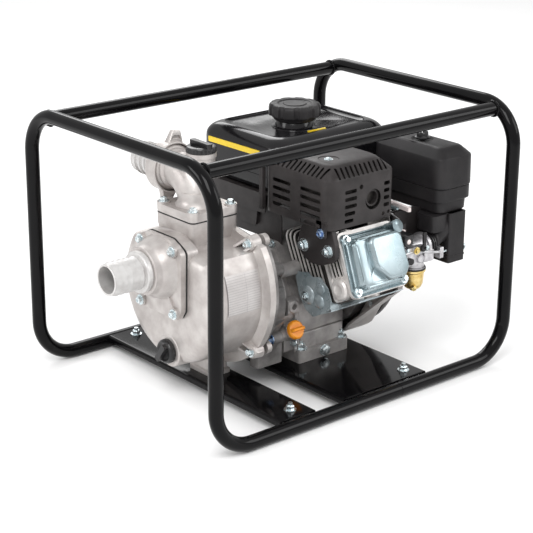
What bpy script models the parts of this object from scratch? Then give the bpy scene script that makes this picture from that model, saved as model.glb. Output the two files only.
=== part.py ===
import bpy, bmesh, math
from mathutils import Vector, Matrix

for o in list(bpy.data.objects):
    bpy.data.objects.remove(o, do_unlink=True)

# Gas engine trash pump. Lengths in mm while modelling, metres at the end.
# x along the crankshaft (suction port at -x), y front (-) to rear (+), z up.
SX, SZ = 6.325, 10.65
ZC = 116.7                      # crankshaft height
XC = 50.0                       # cylinder centre plane
CA, SA = math.cos(math.radians(25)), math.sin(math.radians(25))
TUBE, WALL = 10.65, 2.0         # frame tube radius and wall
L, W, H = 576.0, 438.4, 398.3   # frame, tube centre to tube centre
BEND = 62.0
SEAM = 60.0
ZP = 157.0                      # centre height of the round pump body
ZS = 197.0                      # suction port height
XD = -148.0                     # discharge port position
DRAIN = Vector((0, -8.0, 66.0)) # drain boss centre
NODES = []
TURN = 0.1


def mesh_obj(name, verts, faces):
    me = bpy.data.meshes.new(name)
    me.from_pydata([tuple(v) for v in verts], [], faces)
    bm = bmesh.new()
    bm.from_mesh(me)
    bmesh.ops.recalc_face_normals(bm, faces=bm.faces)
    bm.to_mesh(me)
    bm.free()
    ob = bpy.data.objects.new(name, me)
    bpy.context.scene.collection.objects.link(ob)
    return ob


def boo(a, b, op):
    m = a.modifiers.new('b', 'BOOLEAN')
    m.operation = op
    m.solver = 'EXACT'
    m.object = b
    bpy.context.view_layer.update()
    dg = bpy.context.evaluated_depsgraph_get()
    me = bpy.data.meshes.new_from_object(a.evaluated_get(dg))
    a.modifiers.clear()
    a.data = me
    bpy.data.objects.remove(b, do_unlink=True)
    return a


def cut(a, *bs):
    for b in bs:
        boo(a, b, 'DIFFERENCE')
    return a


def add(a, *bs):
    for b in bs:
        boo(a, b, 'UNION')
    return a


def loft(rings, name='l'):
    n = len(rings[0])
    verts = [p for r in rings for p in r]
    faces = [list(range(n))[::-1], [(len(rings) - 1) * n + i for i in range(n)]]
    for k in range(len(rings) - 1):
        for i in range(n):
            j = (i + 1) % n
            faces.append([k * n + i, k * n + j, (k + 1) * n + j, (k + 1) * n + i])
    return mesh_obj(name, verts, faces)


def axes(axis):
    if isinstance(axis, str):
        a = {'x': Vector((1, 0, 0)), 'y': Vector((0, 1, 0)), 'z': Vector((0, 0, 1))}[axis]
    else:
        a = Vector(axis).normalized()
    u = Vector((0, 0, 1)) if abs(a.z) < 0.9 else Vector((1, 0, 0))
    u = (u - a * u.dot(a)).normalized()
    return a, u, a.cross(u)


def rev(prof, c=(0, 0, 0), axis='x', n=24, name='r', ph=None):
    """Closed profile of (position along axis, radius) turned about the axis."""
    global TURN
    if ph is None:
        TURN = (TURN + 0.382) % 1.0
        ph = TURN
    a, u, w = axes(axis)
    c = Vector(c)
    verts, idx = [], []
    for k, (s, r) in enumerate(prof):
        if r < 1e-6:
            idx.append(None)
            continue
        row = []
        for i in range(n):
            t = 2 * math.pi * (i + ph) / n
            row.append(len(verts))
            verts.append(c + a * s + (u * math.cos(t) + w * math.sin(t)) * r)
        idx.append(row)
    faces = []
    m = len(prof)
    for k in range(m):
        A, B = idx[k], idx[(k + 1) % m]
        if A is None and B is None:
            continue
        if A is None or B is None:
            faces.append(list(A or B))
            continue
        for i in range(n):
            j = (i + 1) % n
            faces.append([A[i], A[j], B[j], B[i]])
    return mesh_obj(name, verts, faces)


def cyl(c, r, s0, s1, axis='x', n=24, ph=None):
    return rev([(s0, 0), (s0, r), (s1, r), (s1, 0)], c, axis, n, ph=ph)


def ring(c, r0, r1, s0, s1, axis='x', n=24):
    return rev([(s0, r0), (s0, r1), (s1, r1), (s1, r0)], c, axis, n)


def box(x0, x1, y0, y1, z0, z1, bev=0.0, seg=2, edges=None):
    v = [(x, y, z) for x in (x0, x1) for y in (y0, y1) for z in (z0, z1)]
    f = [[0, 1, 3, 2], [4, 6, 7, 5], [0, 4, 5, 1], [2, 3, 7, 6], [0, 2, 6, 4], [1, 5, 7, 3]]
    ob = mesh_obj('b', v, f)
    if bev:
        bm = bmesh.new()
        bm.from_mesh(ob.data)
        es = []
        for e in bm.edges:
            d = (e.verts[0].co - e.verts[1].co)
            ax = 'xyz'[max(range(3), key=lambda k: abs(d[k]))]
            if edges is None or edges(ax, (e.verts[0].co + e.verts[1].co) / 2):
                es.append(e)
        bmesh.ops.bevel(bm, geom=es, offset=bev, segments=seg, profile=0.5, affect='EDGES')
        bmesh.ops.recalc_face_normals(bm, faces=bm.faces)
        bm.to_mesh(ob.data)
        bm.free()
    return ob


def prism(pts, lo, hi, axis='x'):
    def P(p, s):
        return {'x': (s, p[0], p[1]), 'y': (p[0], s, p[1]), 'z': (p[0], p[1], s)}[axis]
    return loft([[P(p, lo) for p in pts], [P(p, hi) for p in pts]])


def cylpt(x, d, v):
    """Point in the cylinder's own frame: d out along the bore, v up across it."""
    return (x, -CA * d + SA * v, ZC + SA * d + CA * v)


def cbox(x0, x1, d0, d1, v0, v1):
    vs = [cylpt(x, d, v) for x in (x0, x1) for d in (d0, d1) for v in (v0, v1)]
    return mesh_obj('c', vs, [[0, 1, 3, 2], [4, 6, 7, 5], [0, 4, 5, 1], [2, 3, 7, 6], [0, 2, 6, 4], [1, 5, 7, 3]])


BORE = (0, -CA, SA)


def bcyl(r, d0, d1, n=28, x=XC, v=0.0):
    return cyl(cylpt(x, 0, v), r, d0, d1, BORE, n)


def bring(r0, r1, d0, d1, n=28, x=XC, v=0.0):
    return ring(cylpt(x, 0, v), r0, r1, d0, d1, BORE, n)


def sweep(path, rad, inner=None, n=12, first=(0, 0, 1)):
    """Tube with flat facets facing the frame directions along a bent path."""
    path = [Vector(p) for p in path]
    ap = math.cos(math.pi / n)
    T = []
    for i in range(len(path)):
        if i == 0:
            t = path[1] - path[0]
        elif i == len(path) - 1:
            t = path[-1] - path[-2]
        else:
            t = (path[i + 1] - path[i]).normalized() + (path[i] - path[i - 1]).normalized()
        T.append(t.normalized())
    u = Vector(first)
    u = (u - T[0] * u.dot(T[0])).normalized()
    rows = []
    for i, p in enumerate(path):
        if i:
            q = T[i - 1].rotation_difference(T[i])
            u = q @ u
            u = (u - T[i] * u.dot(T[i])).normalized()
        w = T[i].cross(u)
        row = []
        for r in ([rad] if inner is None else [rad, inner]):
            row.append([p + (u * math.cos(a) + w * math.sin(a)) * (r / ap)
                        for a in [2 * math.pi * (k + 0.5) / n for k in range(n)]])
        rows.append(row)
    if inner is None:
        return loft([r[0] for r in rows])
    verts, faces = [], []
    for r in rows:
        verts += r[0] + r[1]
    m = 2 * n
    for i in range(len(rows) - 1):
        for k in range(n):
            j = (k + 1) % n
            faces.append([i * m + k, i * m + j, (i + 1) * m + j, (i + 1) * m + k])
            faces.append([i * m + n + j, i * m + n + k, (i + 1) * m + n + k, (i + 1) * m + n + j])
    e = (len(rows) - 1) * m
    for k in range(n):
        j = (k + 1) % n
        faces.append([k, n + k, n + j, j])
        faces.append([e + k, e + j, e + n + j, e + n + k])
    return mesh_obj('s', verts, faces)


def fillet(pts, r, seg=5):
    pts = [Vector(p) for p in pts]
    out = [pts[0]]
    for i in range(1, len(pts) - 1):
        a = (pts[i - 1] - pts[i]).normalized()
        b = (pts[i + 1] - pts[i]).normalized()
        ang = a.angle(b)
        t = r / math.tan(ang / 2)
        c = pts[i] + (a + b).normalized() * (r / math.sin(ang / 2))
        s, e = pts[i] + a * t - c, pts[i] + b * t - c
        tot = s.angle(e)
        ax = s.cross(e).normalized()
        for k in range(seg + 1):
            out.append(c + Matrix.Rotation(tot * k / seg, 3, ax) @ s)
    out.append(pts[-1])
    return out


def node(name, ob):
    ob.name = name
    ob.data.name = name
    NODES.append(ob)
    return ob


# ---------------------------------------------------------------- frame
def hoop(side, seam):
    x = side * L / 2
    pts = [(seam, -W / 2, 0), (x, -W / 2, 0), (x, -W / 2, H), (x, W / 2, H), (x, W / 2, 0), (seam, W / 2, 0)]
    return sweep(fillet(pts, BEND), TUBE, TUBE - WALL)


node('frame_left_hoop', hoop(-1, SEAM - 0.2))
node('frame_right_hoop', hoop(1, SEAM + 0.2))
XR = L / 2 - TUBE - 0.4
for nm, s in (('front', -1), ('rear', 1)):
    y = s * (W / 2 - 35.8)
    node('frame_top_rail_' + nm, sweep([(-XR, y, H - 7.5), (XR, y, H - 7.5)], TUBE, TUBE - WALL))


def channel(x0, x1, y):
    t = 3.0
    pts = [(x0, 1.0), (x0 + t, 1.0), (x0 + t, 7.65), (x1 - t, 7.65), (x1 - t, 1.0), (x1, 1.0), (x1, 10.65), (x0, 10.65)]
    return prism(pts, -y, y, 'y')


YB = W / 2 - TUBE - 0.4
node('crossmember_pump', channel(-166.0, -98.0, YB))
node('crossmember_engine', channel(-44.0, 127.0, YB))

# ---------------------------------------------------------------- pump


def body_outline(R, w, top, n=20):
    """Round body with sloping shoulders up to the discharge neck, in (y, z)."""
    out = []
    a0, a1 = math.radians(35), math.radians(-215)
    for k in range(n + 1):
        a = a0 + (a1 - a0) * k / n
        out.append((R * math.cos(a), ZP + R * math.sin(a)))
    out += [(-w, top), (w, top)]
    return out


def scaled(x, R, w, top):
    return [(x, y, z) for (y, z) in body_outline(R, w, top)]


casing = loft([scaled(-208, 84, 30, 238), scaled(-205.5, 96, 34, 250), scaled(-199, 106, 38, 256),
               scaled(-188, 113, 42, 258), scaled(-116.5, 114, 44, 258), scaled(-116, 130, 46, 262),
               scaled(-105.4, 130, 46, 262)])
add(casing, box(-191, -105.4, -44, 44, 235, 265, 6, 2, lambda ax, m: ax == 'z'),
    box(-142, -109, -24, 24, 10.95, 48, 3, 1, lambda ax, m: ax == 'z'),
    cyl(DRAIN, 23, -209, -180, 'x', 20),
    prism([(-28, 244), (28, 244), (56, 231), (53, 142), (44, 128), (-44, 128), (-53, 142), (-56, 231)], -208.8, -190))
cut(casing, loft([scaled(-200, 96, 30, 246), scaled(-190, 106, 38, 250), scaled(-104, 106, 38, 250)]),
    cyl((0, 0, ZS), 24, -215, -190, 'x', 24), cyl((XD, 0, 0), 24, 240, 270, 'z', 24),
    cyl(DRAIN, 12.6, -220, -170, 'x', 20))
node('pump_casing', casing)
OUTL = [(-28, 246), (28, 246), (56, 232), (54, 140), (44, 126), (-44, 126), (-54, 140), (-56, 232)]
node('suction_gasket', cut(prism(OUTL, -210.8, -209.1), cyl((0, 0, ZS), 24, -215, -205, 'x', 24)))
sf = prism([(y * 0.985, 186 + (z - 186) * 0.985) for (y, z) in OUTL], -220, -211.1)
add(sf, rev([(-220.5, 0), (-249.7, 0), (-249.7, 35), (-240, 36), (-233, 42), (-215, 47), (-215, 0)], (0, 0, ZS), 'x', 28))
cut(sf, cyl((0, 0, ZS), 24.6, -255, -230, 'x', 24), cyl((0, 0, ZS), 22, -232, -205, 'x', 24))
node('suction_flange', sf)


def tail(c, axis, n=20):
    """Hose tail: stub at 0, collar, then four barbs out to 76."""
    p = [(0, 20), (0, 24), (17.5, 24), (17.5, 31), (27, 31), (29, 23.2)]
    for k in range(4):
        s = 31 + 11.2 * k
        p += [(s, 25.2), (s + 9.5, 23.2)]
    p += [(79, 23.2), (79, 20)]
    return rev(p, c, axis, n)


node('suction_hose_tail', tail((-232.3, 0, ZS), (-1, 0, 0)))

dg = [(-191, -38), (-185, -44), (-111, -44), (-105, -38), (-105, 38), (-111, 44), (-185, 44), (-191, 38)]
node('discharge_gasket', cut(prism(dg, 265.3, 267.0, 'z'), cyl((XD, 0, 0), 24, 260, 270, 'z', 24)))
TILT = math.radians(10)
XF, YF = XD + 13.0, 6.0
OD = Vector((0, 1, 0))
P1 = Vector((XD, 0, 322.0))
PE = P1 + OD * 62
el = sweep(fillet([(XD, 0, 270), P1, PE], 45, 7), 27, n=16, first=(1, 0, 0))
fl = prism(dg, 267.3, 279.5, 'z')
add(fl, el, cyl((XF, YF, 0), 20.5, 312, 353.8, 'z', 20),
    rev([(56, 0), (56, 35), (62, 35), (62, 0)], P1, OD, 24))
bore = sweep(fillet([(XD, 0, 262), P1, P1 + OD * 72], 45, 7), 20, n=16, first=(1, 0, 0))
cut(fl, cyl((XF, YF, 0), 24, 353.7, 375, 'z', 20), bore, cyl((XF, YF, 0), 15, 306, 360, 'z', 20))
node('discharge_elbow', fl)
node('discharge_hose_tail', rev([(0.3, 20), (0.3, 31), (9, 31), (9.2, 23.2)] +
                                [q for k in range(4) for q in ((13 + 13.9 * k, 25.2), (25 + 13.9 * k, 23.2))] +
                                [(71, 23.2), (71, 20)], PE, OD, 20))
nut = rev([(-10, 35.6), (-10, 38), (13.5, 38), (13.5, 26), (9.6, 26), (9.6, 31.6), (0, 35.6)], PE, OD, 24)
UP = Vector((math.sin(TILT), 0, math.cos(TILT)))
for s in (1, -1):
    a = PE + OD * 0.5
    q = []
    for d, w, h in ((36.0, 11, 12), (54.0, 6.5, 8)):
        c = a + UP * s * d
        q.append([c + OD * (h / 2 * i) + OD.cross(UP) * (w * j) for (i, j) in ((1, 1), (1, -1), (-1, -1), (-1, 1))])
    lug = loft(q)
    cut(lug, rev([(-14, 0), (-14, 36.8), (15, 36.8), (15, 0)], PE, OD, 24))
    add(nut, lug)
node('discharge_union_nut', nut)
cap = rev([(354.2, 0), (354.2, 22.5), (359, 22.5), (363, 20), (363, 0)], (XF, YF, 0), 'z', 20)
add(cap, cyl((XF, YF, 0), 14.5, 340, 356, 'z', 20), box(XF - 4, XF + 4, YF - 18, YF + 18, 362, 369, 2, 1))
node('filler_cap', cap)
dp = cyl(DRAIN, 12.2, -209.6, -192, 'x', 20)
add(dp, rev([(-209.3, 0), (-209.3, 18.5), (-215, 18.5), (-219, 16), (-219, 0)], DRAIN, 'x', 20),
    box(-226, -218, DRAIN.y - 4, DRAIN.y + 4, 52, 80, 1, 1))
node('drain_plug', dp)

ad = loft([scaled(-105.0, 127, 40, 258), scaled(-97.0, 127, 40, 258)])
add(ad, rev([(-101, 0), (-101, 92), (-90, 92), (-62, 76), (-40.4, 76), (-40.4, 0)], (0, 0, ZC), 'x', 32),
    box(-90, -40.4, -70, -50, 24, 60), box(-90, -40.4, 50, 70, 24, 60))
cut(ad, rev([(-96, 0), (-96, 84), (-88, 84), (-64, 68), (-39, 68), (-39, 0)], (0, 0, ZC), 'x', 32),
    cyl((0, 0, ZC), 15, -110, -90, 'x', 24))
node('pump_adapter', ad)
imp = rev([(-162, 9.8), (-162, 16), (-132, 20), (-130, 52), (-124.5, 52), (-124.5, 9.8)], (0, 0, ZC), 'x', 28)
for k in range(3):
    v = box(-158, -128, 14, 51, -3, 3)
    v.matrix_world = Matrix.Translation((0, 0, ZC)) @ Matrix.Rotation(math.radians(120 * k + 20), 4, 'X')
    bpy.context.view_layer.update()
    add(imp, v)
node('impeller', imp)
vol = rev([(-167.5, 26), (-167.5, 63), (-105.8, 63), (-105.8, 54.6), (-164, 54.6), (-164, 26)], (0, 0, ZC), 'x', 28)
cut(vol, box(-158, -130, -14, 14, ZC + 40, ZC + 75))
node('volute', vol)
node('mechanical_seal', rev([(-123.8, 10.2), (-123.8, 17), (-117, 17), (-117, 22), (-105.5, 22), (-105.5, 10.2)], (0, 0, ZC), 'x', 24))
flap = cyl((0, 0, ZS), 26.5, -199.0, -195.6, 'x', 20)
add(flap, box(-199, -195.6, -9, 9, ZS + 20, ZS + 32))
add(flap, cyl((-197.3, 0, ZS + 32), 2.6, -12, 12, 'y', 10))
node('check_valve_flap', flap)

# ---------------------------------------------------------------- engine
cc = prism([(-60, 28), (78, 28), (78, 150), (40, 188), (-13, 188), (-60, 112)], -3, 92)
add(cc, box(-7, 95, -71, 126, 10.95, 31, 3, 1, lambda ax, m: ax == 'z'), bcyl(44, 20, 136))
for d in (92, 101, 110, 119):
    add(cc, cbox(-2, 91.5, d, d + 2.6, -52, 50))
add(cc, cbox(-4, 91.5, 130, 136, -50, 50))
cut(cc, prism([(-52, 38), (70, 38), (70, 146), (36, 180), (-10, 180), (-52, 108)], -10, 84), bcyl(34.4, 20, 140),
    cyl((0, 0, ZC), 26.3, 80, 97, 'x', 24), cyl((44, 0, 22), 6.4, -75, -50, 'y', 12))
node('crankcase', cc)
sc = prism([(-58, 31.4), (74, 31.4), (78, 36), (78, 148), (38, 186), (-12, 186), (-60, 110), (-60, 36)], -28, -3.4)
add(sc, cyl((0, 0, ZC), 58.3, -40, -16, 'x', 28))
DD = Vector((0, -0.906, 0.423))
DC = Vector((-17.5, -50, 60))
add(sc, cyl(DC, 13, -14, 21.5, DD, 16))
cut(sc, prism([(-51.3, 42.7), (66, 42.7), (66, 142), (34, 172), (-10, 172), (-51.3, 104)], -25, -2),
    cyl((0, 0, ZC), 26.3, -33, -10, 'x', 24), cyl((0, 0, ZC), 13, -45, -20, 'x', 24), cyl(DC, 8.6, -20, 30, DD, 16))
node('crankcase_side_cover', sc)
ds = rev([(22, 0), (22, 14.5), (28, 14.5), (30, 13), (30, 0)], DC, DD, 20)
add(ds, cyl(DC, 8.2, 2, 23, DD, 16), cyl(DC, 2.2, -30, 5, DD, 8))
q = [[DC + DD * s + Vector((i * 12.0, 0, 0)) + DD.cross(Vector((1, 0, 0))) * j * 2.4 for (i, j) in ((-1, -1), (1, -1), (1, 1), (-1, 1))] for s in (29, 37)]
add(ds, loft(q))
node('oil_dipstick', ds)
db = cyl((44, 0, 22), 6.1, -72, -55, 'y', 12)
add(db, cyl((44, 0, 22), 9, -78, -71.3, 'y', 6))
node('oil_drain_bolt', db)

hd = cbox(2, 91.5, 136.4, 183, -42, 42)
add(hd, cbox(-4, 91.9, 136.4, 142, -50, 50), cbox(-5, 105, 176, 183, -50, 50), cbox(90, 104.6, 141, 177, -30, 40))
for d in (148, 156, 164):
    add(hd, cbox(-3, 91.2, d, d + 2.6, -47, 46.6))
add(hd, cbox(-10, 5, 143, 172, 14, 48))
cut(hd, bcyl(33, 130, 143), cyl(cylpt(110, 160, 12), 12, -30, 3, 'x', 16), cyl(cylpt(0, 157, 30), 11, -14, 20, 'x', 16), cyl(cylpt(30, 157, 42.0), 8.3, 0, 20, (0, SA, CA), 14))
node('cylinder_head', hd)


def vc_ring(d, hx, hv, e=0):
    pts = [(-hx + 9 + e, hv), (hx - 7, hv), (hx, hv - 8), (hx, -hv + 8), (hx - 8, -hv), (-hx + 4, -hv), (-hx - 4, -hv + 8), (-hx + 3, hv - 8)]
    return [cylpt(XC + a, d, b) for a, b in pts]


vc = loft([vc_ring(183.4, 55, 50), vc_ring(187, 55, 50), vc_ring(187.2, 48, 43), vc_ring(206, 46, 41), vc_ring(213, 38, 33, 3)])
cut(vc, loft([vc_ring(180, 44, 39), vc_ring(204, 43, 38), vc_ring(210.5, 36, 31)]))
node('valve_cover', vc)

CX = (0, 0, ZC)


def web(x0, x1):
    w = cyl((0, 0, ZC), 39, x0, x1, 'x', 24)
    return w


cp = rev([(-152, 0), (-152, 9.5), (-58, 9.5), (-58, 12.3), (37, 12.3), (37, 0)], CX, 'x', 20)
cp = add(cp, web(26, 37.5))
node('crankshaft_pump_half', cp)
cf = rev([(63, 0), (63, 12.3), (104, 12.3), (104, 10), (152, 10), (152, 0)], CX, 'x', 20)
add(cf, web(62.5, 74))
node('crankshaft_flywheel_half', cf)
node('bearing_pump_side', ring(CX, 12.6, 26.0, -19.5, -4.5, 'x', 28))
node('bearing_flywheel_side', ring(CX, 12.6, 26.0, 80, 91.8, 'x', 28))
fw = rev([(105.5, 10.3), (105.5, 24), (112, 28), (112, 62), (107, 66), (107, 82), (128, 82), (128, 10.3)], CX, 'x', 36)
node('flywheel', fw)
fan = rev([(128.4, 10.3), (128.4, 78), (131, 78), (133, 30), (150, 26), (150, 10.3)], CX, 'x', 32)
for k in range(8):
    v = box(130, 148, 34, 77, -1.6, 1.6)
    v.matrix_world = Matrix.Translation((0, 0, ZC)) @ Matrix.Rotation(math.radians(45 * k + 11), 4, 'X')
    bpy.context.view_layer.update()
    add(fan, v)
node('cooling_fan', fan)


def bh(o):
    """Blower housing outline in (y, z), o = inward offset."""
    R = 100 - o
    out = []
    for k in range(15):
        a = math.radians(80 - 190 * k / 14 - 20)
        out.append((R * math.cos(a), ZC + R * math.sin(a)))
    out += [(-100 + o, 100), (-100 + o, 205 - o * .5), (-88 + o, 240 - o), (-20, 240 - o), (24 - o * .3, 226 - o)]
    return out


hs = prism(bh(0), 95.5, 158)
add(hs, prism([(-66, 45), (-165, 131), (-168, 147), (-92, 147), (-60, 140)], 95.9, 116))
cut(hs, prism(bh(3), 90, 155), cyl(CX, 62, 150, 165, 'x', 28),
    prism([(-66, 49.5), (-160.5, 132), (-163, 143.5), (-92, 143.5), (-60, 135)], 89, 113))
cut(hs, cbox(95.0, 106, 120, 186, -60, 60))
node('blower_housing', hs)
rc = rev([(158.4, 88), (158.4, 92), (170, 92), (186, 84), (202, 70), (206, 60), (206, 0), (203, 0), (203, 58), (199, 67), (184, 80), (169, 88)], CX, 'x', 32)
add(rc, cyl(CX, 7, 166, 204, 'x', 16))
cut(rc, cyl((181, 0, ZC + 42), 5, 60, 110, 'y', 12))
node('recoil_cover', rc)
node('recoil_reel', rev([(172, 7.4), (172, 50), (176, 50), (177, 43), (185, 43), (186, 50), (190, 50), (190, 7.4)], CX, 'x', 28))
gr = box(175, 187, 86, 98, ZC + 12, ZC + 72, 5, 2)
node('starter_grip', gr)
pis = bring(28.5, 34.0, 96, 128)
add(pis, bcyl(34.0, 126, 134.5, 28))
cut(pis, cyl(cylpt(XC, 111, 0), 9.35, -40, 40, 'x', 16))
node('piston', pis)
node('wrist_pin', ring(cylpt(XC, 111, 0), 5, 9.0, -27.5, 27.5, 'x', 16))
rod = ring(cylpt(XC, 111, 0), 9.3, 13.5, -9, 9, 'x', 20)
add(rod, cbox(XC - 5, XC + 5, 44, 99, -6, 6), ring(cylpt(XC, 27, 0), 13.5, 18, -9, 9, 'x', 24))
node('connecting_rod', rod)

# fuel tank
tk = box(0, 238, -5, 183, 262, 345, 22, 3, lambda ax, m: not (m.z < 265))
cut(tk, box(3, 235, -2, 180, 265, 342, 20, 2, lambda ax, m: not (m.z < 268)))
add(tk, ring((106, 76, 0), 22, 29, 341, 351, 'z', 28))
cut(tk, cyl((106, 76, 0), 22, 335, 360, 'z', 28))
node('fuel_tank', tk)
fc = []
for k in range(32):
    a = 2 * math.pi * k / 32
    r = 41.0 if (k % 4) in (0, 1) else 38.0
    fc.append((106 + r * math.cos(a), 76 + r * math.sin(a)))
fcap = prism(fc, 358, 377, 'z')
add(fcap, cyl((106, 76, 0), 33, 351.4, 359, 'z', 24), cyl((106, 76, 0), 21.5, 336, 352, 'z', 24))
node('fuel_cap', fcap)

# muffler
node('muffler_can', box(-23, 99, -150, -14, 255, 335, 16, 2))
mg = box(-28, 104, -155, -9, 249, 341, 14, 3, lambda ax, m: not (m.z < 250))
cut(mg, box(-26, 102, -153, -2, 240, 339, 12, 3, lambda ax, m: not (m.z < 241)))
sl = []
for (y0, y1) in ((-136, -104), (-84, -52)):
    for k in range(4):
        sl.append(box(-32, -20, y0, y1, 271 + 11 * k, 276 + 11 * k))
for (x0, x1) in ((2, 26),):
    for k in range(4):
        sl.append(box(x0, x1, -160, -145, 266 + 11 * k, 271 + 11 * k))
sl.append(cyl((62, 0, 290), 13, -160, -145, 'y', 16))
cut(mg, *sl)
node('muffler_guard', mg)
ep = prism([(-150, 196), (-132, 190), (-88, 204), (-84, 216), (-92, 254.6), (-146, 254.6)], -19, -10.4)
cut(ep, cyl(cylpt(0, 157, 30), 10, -14, 30, 'x', 16))
node('exhaust_flange_pipe', ep)

# air cleaner
ca = box(189, 260, -165, -17, 232, 272, 12, 2, lambda ax, m: ax == 'z')
cut(ca, box(192, 257, -162, -20, 235, 275, 10, 2, lambda ax, m: ax == 'z'), cyl((212, -143, 0), 13, 225, 240, 'z', 16))
add(ca, cyl((224, -90, 0), 4, 234, 262, 'z', 10))
node('air_cleaner_case', ca)
cv = box(187.5, 261.5, -166.5, -15.6, 272.4, 334, 15, 3, lambda ax, m: not (m.z < 273))
cut(cv, box(190, 259, -164, -18, 265, 331.5, 13, 3, lambda ax, m: not (m.z < 268)), cyl((224, -90, 0), 5, 325, 340, 'z', 12))
node('air_cleaner_cover', cv)
node('air_filter_element', cut(box(198, 250, -156, -28, 263, 318, 6, 1, lambda ax, m: ax == 'z'),
                               box(210, 238, -142, -42, 255, 310)))
kb = cyl((224, -90, 0), 4.2, 322, 336, 'z', 12)
add(kb, cyl((224, -90, 0), 12, 334.4, 338, 'z', 16), box(214, 234, -93, -87, 337, 346, 1.5, 1))
node('air_cleaner_knob', kb)
ab = box(176.2, 246, -167, -122, 152, 231.6, 5, 1, lambda ax, m: ax == 'y')
cut(ab, box(179.2, 243, -164, -125, 155, 240), cyl((0, -145, 184), 13, 165, 185, 'x', 16))
node('air_cleaner_bracket', ab)

# carburettor
IX = (0, -145, 184)
node('intake_insulator', cut(box(105.4, 112, -168, -122, 164, 204, 5, 1, lambda ax, m: ax == 'x'), cyl(IX, 12, 100, 115, 'x', 16)))
cb = cyl(IX, 18, 112.4, 175.8, 'x', 20)
add(cb, box(120, 160, -166, -126, 166, 196, 4, 1), cyl((158, -145, 0), 17.5, 151.5, 170, 'z', 20))
cut(cb, cyl(IX, 12, 105, 190, 'x', 16))
node('carburetor', cb)
bw = rev([(121, 0), (121, 12.5), (124, 16.5), (151.1, 17.5), (151.1, 14.5), (127, 13.5), (127, 0)], (158, -145, 0), 'z', 20)
add(bw, cyl((158, -145, 0), 5, 116, 122, 'z', 6))
node('carb_bowl', bw)
fv = cyl((128, 0, 174), 5, -172, -166.4, 'y', 12)
add(fv, box(108, 128, -172, -169, 171.5, 176.5))
node('fuel_valve_lever', fv)
ck = cyl((154, 0, 190), 4.5, -172, -166.4, 'y', 12)
add(ck, box(151.5, 156.5, -172, -169, 190, 216))
node('choke_lever', ck)
cpz = box(112, 156, -112, -30, 240.6, 243, 4, 1, lambda ax, m: ax == 'z')
add(cpz, cyl((140, -70, 0), 4, 242, 250, 'z', 10))
node('control_plate', cpz)
th = ring((140, -70, 0), 4.3, 9, 243.4, 246.4, 'z', 16)
add(th, box(137, 143, -128, -77, 243.4, 246.4))
node('throttle_lever', th)
sw = cyl((0, -84, 212), 10, 158.4, 166, 'x', 16)
add(sw, box(165, 172, -93, -75, 209.5, 214.5, 1, 1))
node('engine_switch', sw)
ls = cbox(-8, 91, 74, 128, -62, -8)
cut(ls, cbox(-5.6, 100, 70, 132, -58, 0))
node('lower_shroud', ls)
sp = cyl(cylpt(30, 157, 42.4), 7, 0, 26, (0, SA, CA), 12)
node('spark_plug', sp)

# ---------------------------------------------------------------- finishes and places
FINISHES = {        # colour, metallic, roughness
    'frame_paint': ((0.020, 0.020, 0.022), 0.0, 0.25),
    'cast_pump': ((0.72, 0.70, 0.68), 0.9, 0.45),
    'cast_engine': ((0.42, 0.41, 0.41), 0.9, 0.50),
    'gasket': ((0.020, 0.020, 0.020), 0.0, 0.80),
    'black_plastic': ((0.030, 0.030, 0.032), 0.0, 0.45),
    'steel': ((0.55, 0.55, 0.56), 1.0, 0.35),
    'zinc': ((0.66, 0.72, 0.75), 1.0, 0.35),
    'iron': ((0.16, 0.15, 0.15), 0.8, 0.60),
    'tank_paint': ((0.015, 0.015, 0.017), 0.0, 0.20),
    'heat_black': ((0.045, 0.040, 0.042), 0.2, 0.50),
    'orange': ((0.95, 0.38, 0.03), 0.0, 0.35),
    'yellow_zinc': ((0.80, 0.58, 0.18), 1.0, 0.40),
    'filter_paper': ((0.80, 0.74, 0.55), 0.0, 0.90),
    'ceramic': ((0.90, 0.90, 0.88), 0.0, 0.25),
}
USES = {
    'frame_paint': ('frame_left_hoop', 'frame_right_hoop', 'frame_top_rail_front', 'frame_top_rail_rear',
                    'crossmember_pump', 'crossmember_engine'),
    'cast_pump': ('pump_casing', 'suction_flange', 'suction_hose_tail', 'discharge_elbow',
                  'discharge_hose_tail', 'discharge_union_nut'),
    'cast_engine': ('pump_adapter', 'crankcase', 'crankcase_side_cover', 'cylinder_head', 'piston',
                    'connecting_rod', 'carburetor'),
    'gasket': ('suction_gasket', 'discharge_gasket', 'check_valve_flap'),
    'steel': ('oil_drain_bolt', 'crankshaft_pump_half', 'crankshaft_flywheel_half', 'bearing_pump_side',
              'bearing_flywheel_side', 'wrist_pin', 'fuel_valve_lever', 'control_plate'),
    'zinc': ('valve_cover', 'throttle_lever', 'lower_shroud'),
    'iron': ('impeller', 'volute', 'flywheel'),
    'tank_paint': ('fuel_tank',),
    'heat_black': ('blower_housing', 'recoil_cover', 'muffler_can', 'muffler_guard', 'exhaust_flange_pipe'),
    'orange': ('oil_dipstick',),
    'yellow_zinc': ('carb_bowl',),
    'filter_paper': ('air_filter_element',),
    'ceramic': ('spark_plug', 'mechanical_seal'),
}
FINISH_OF = {name: finish for finish, names in USES.items() for name in names}
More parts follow.
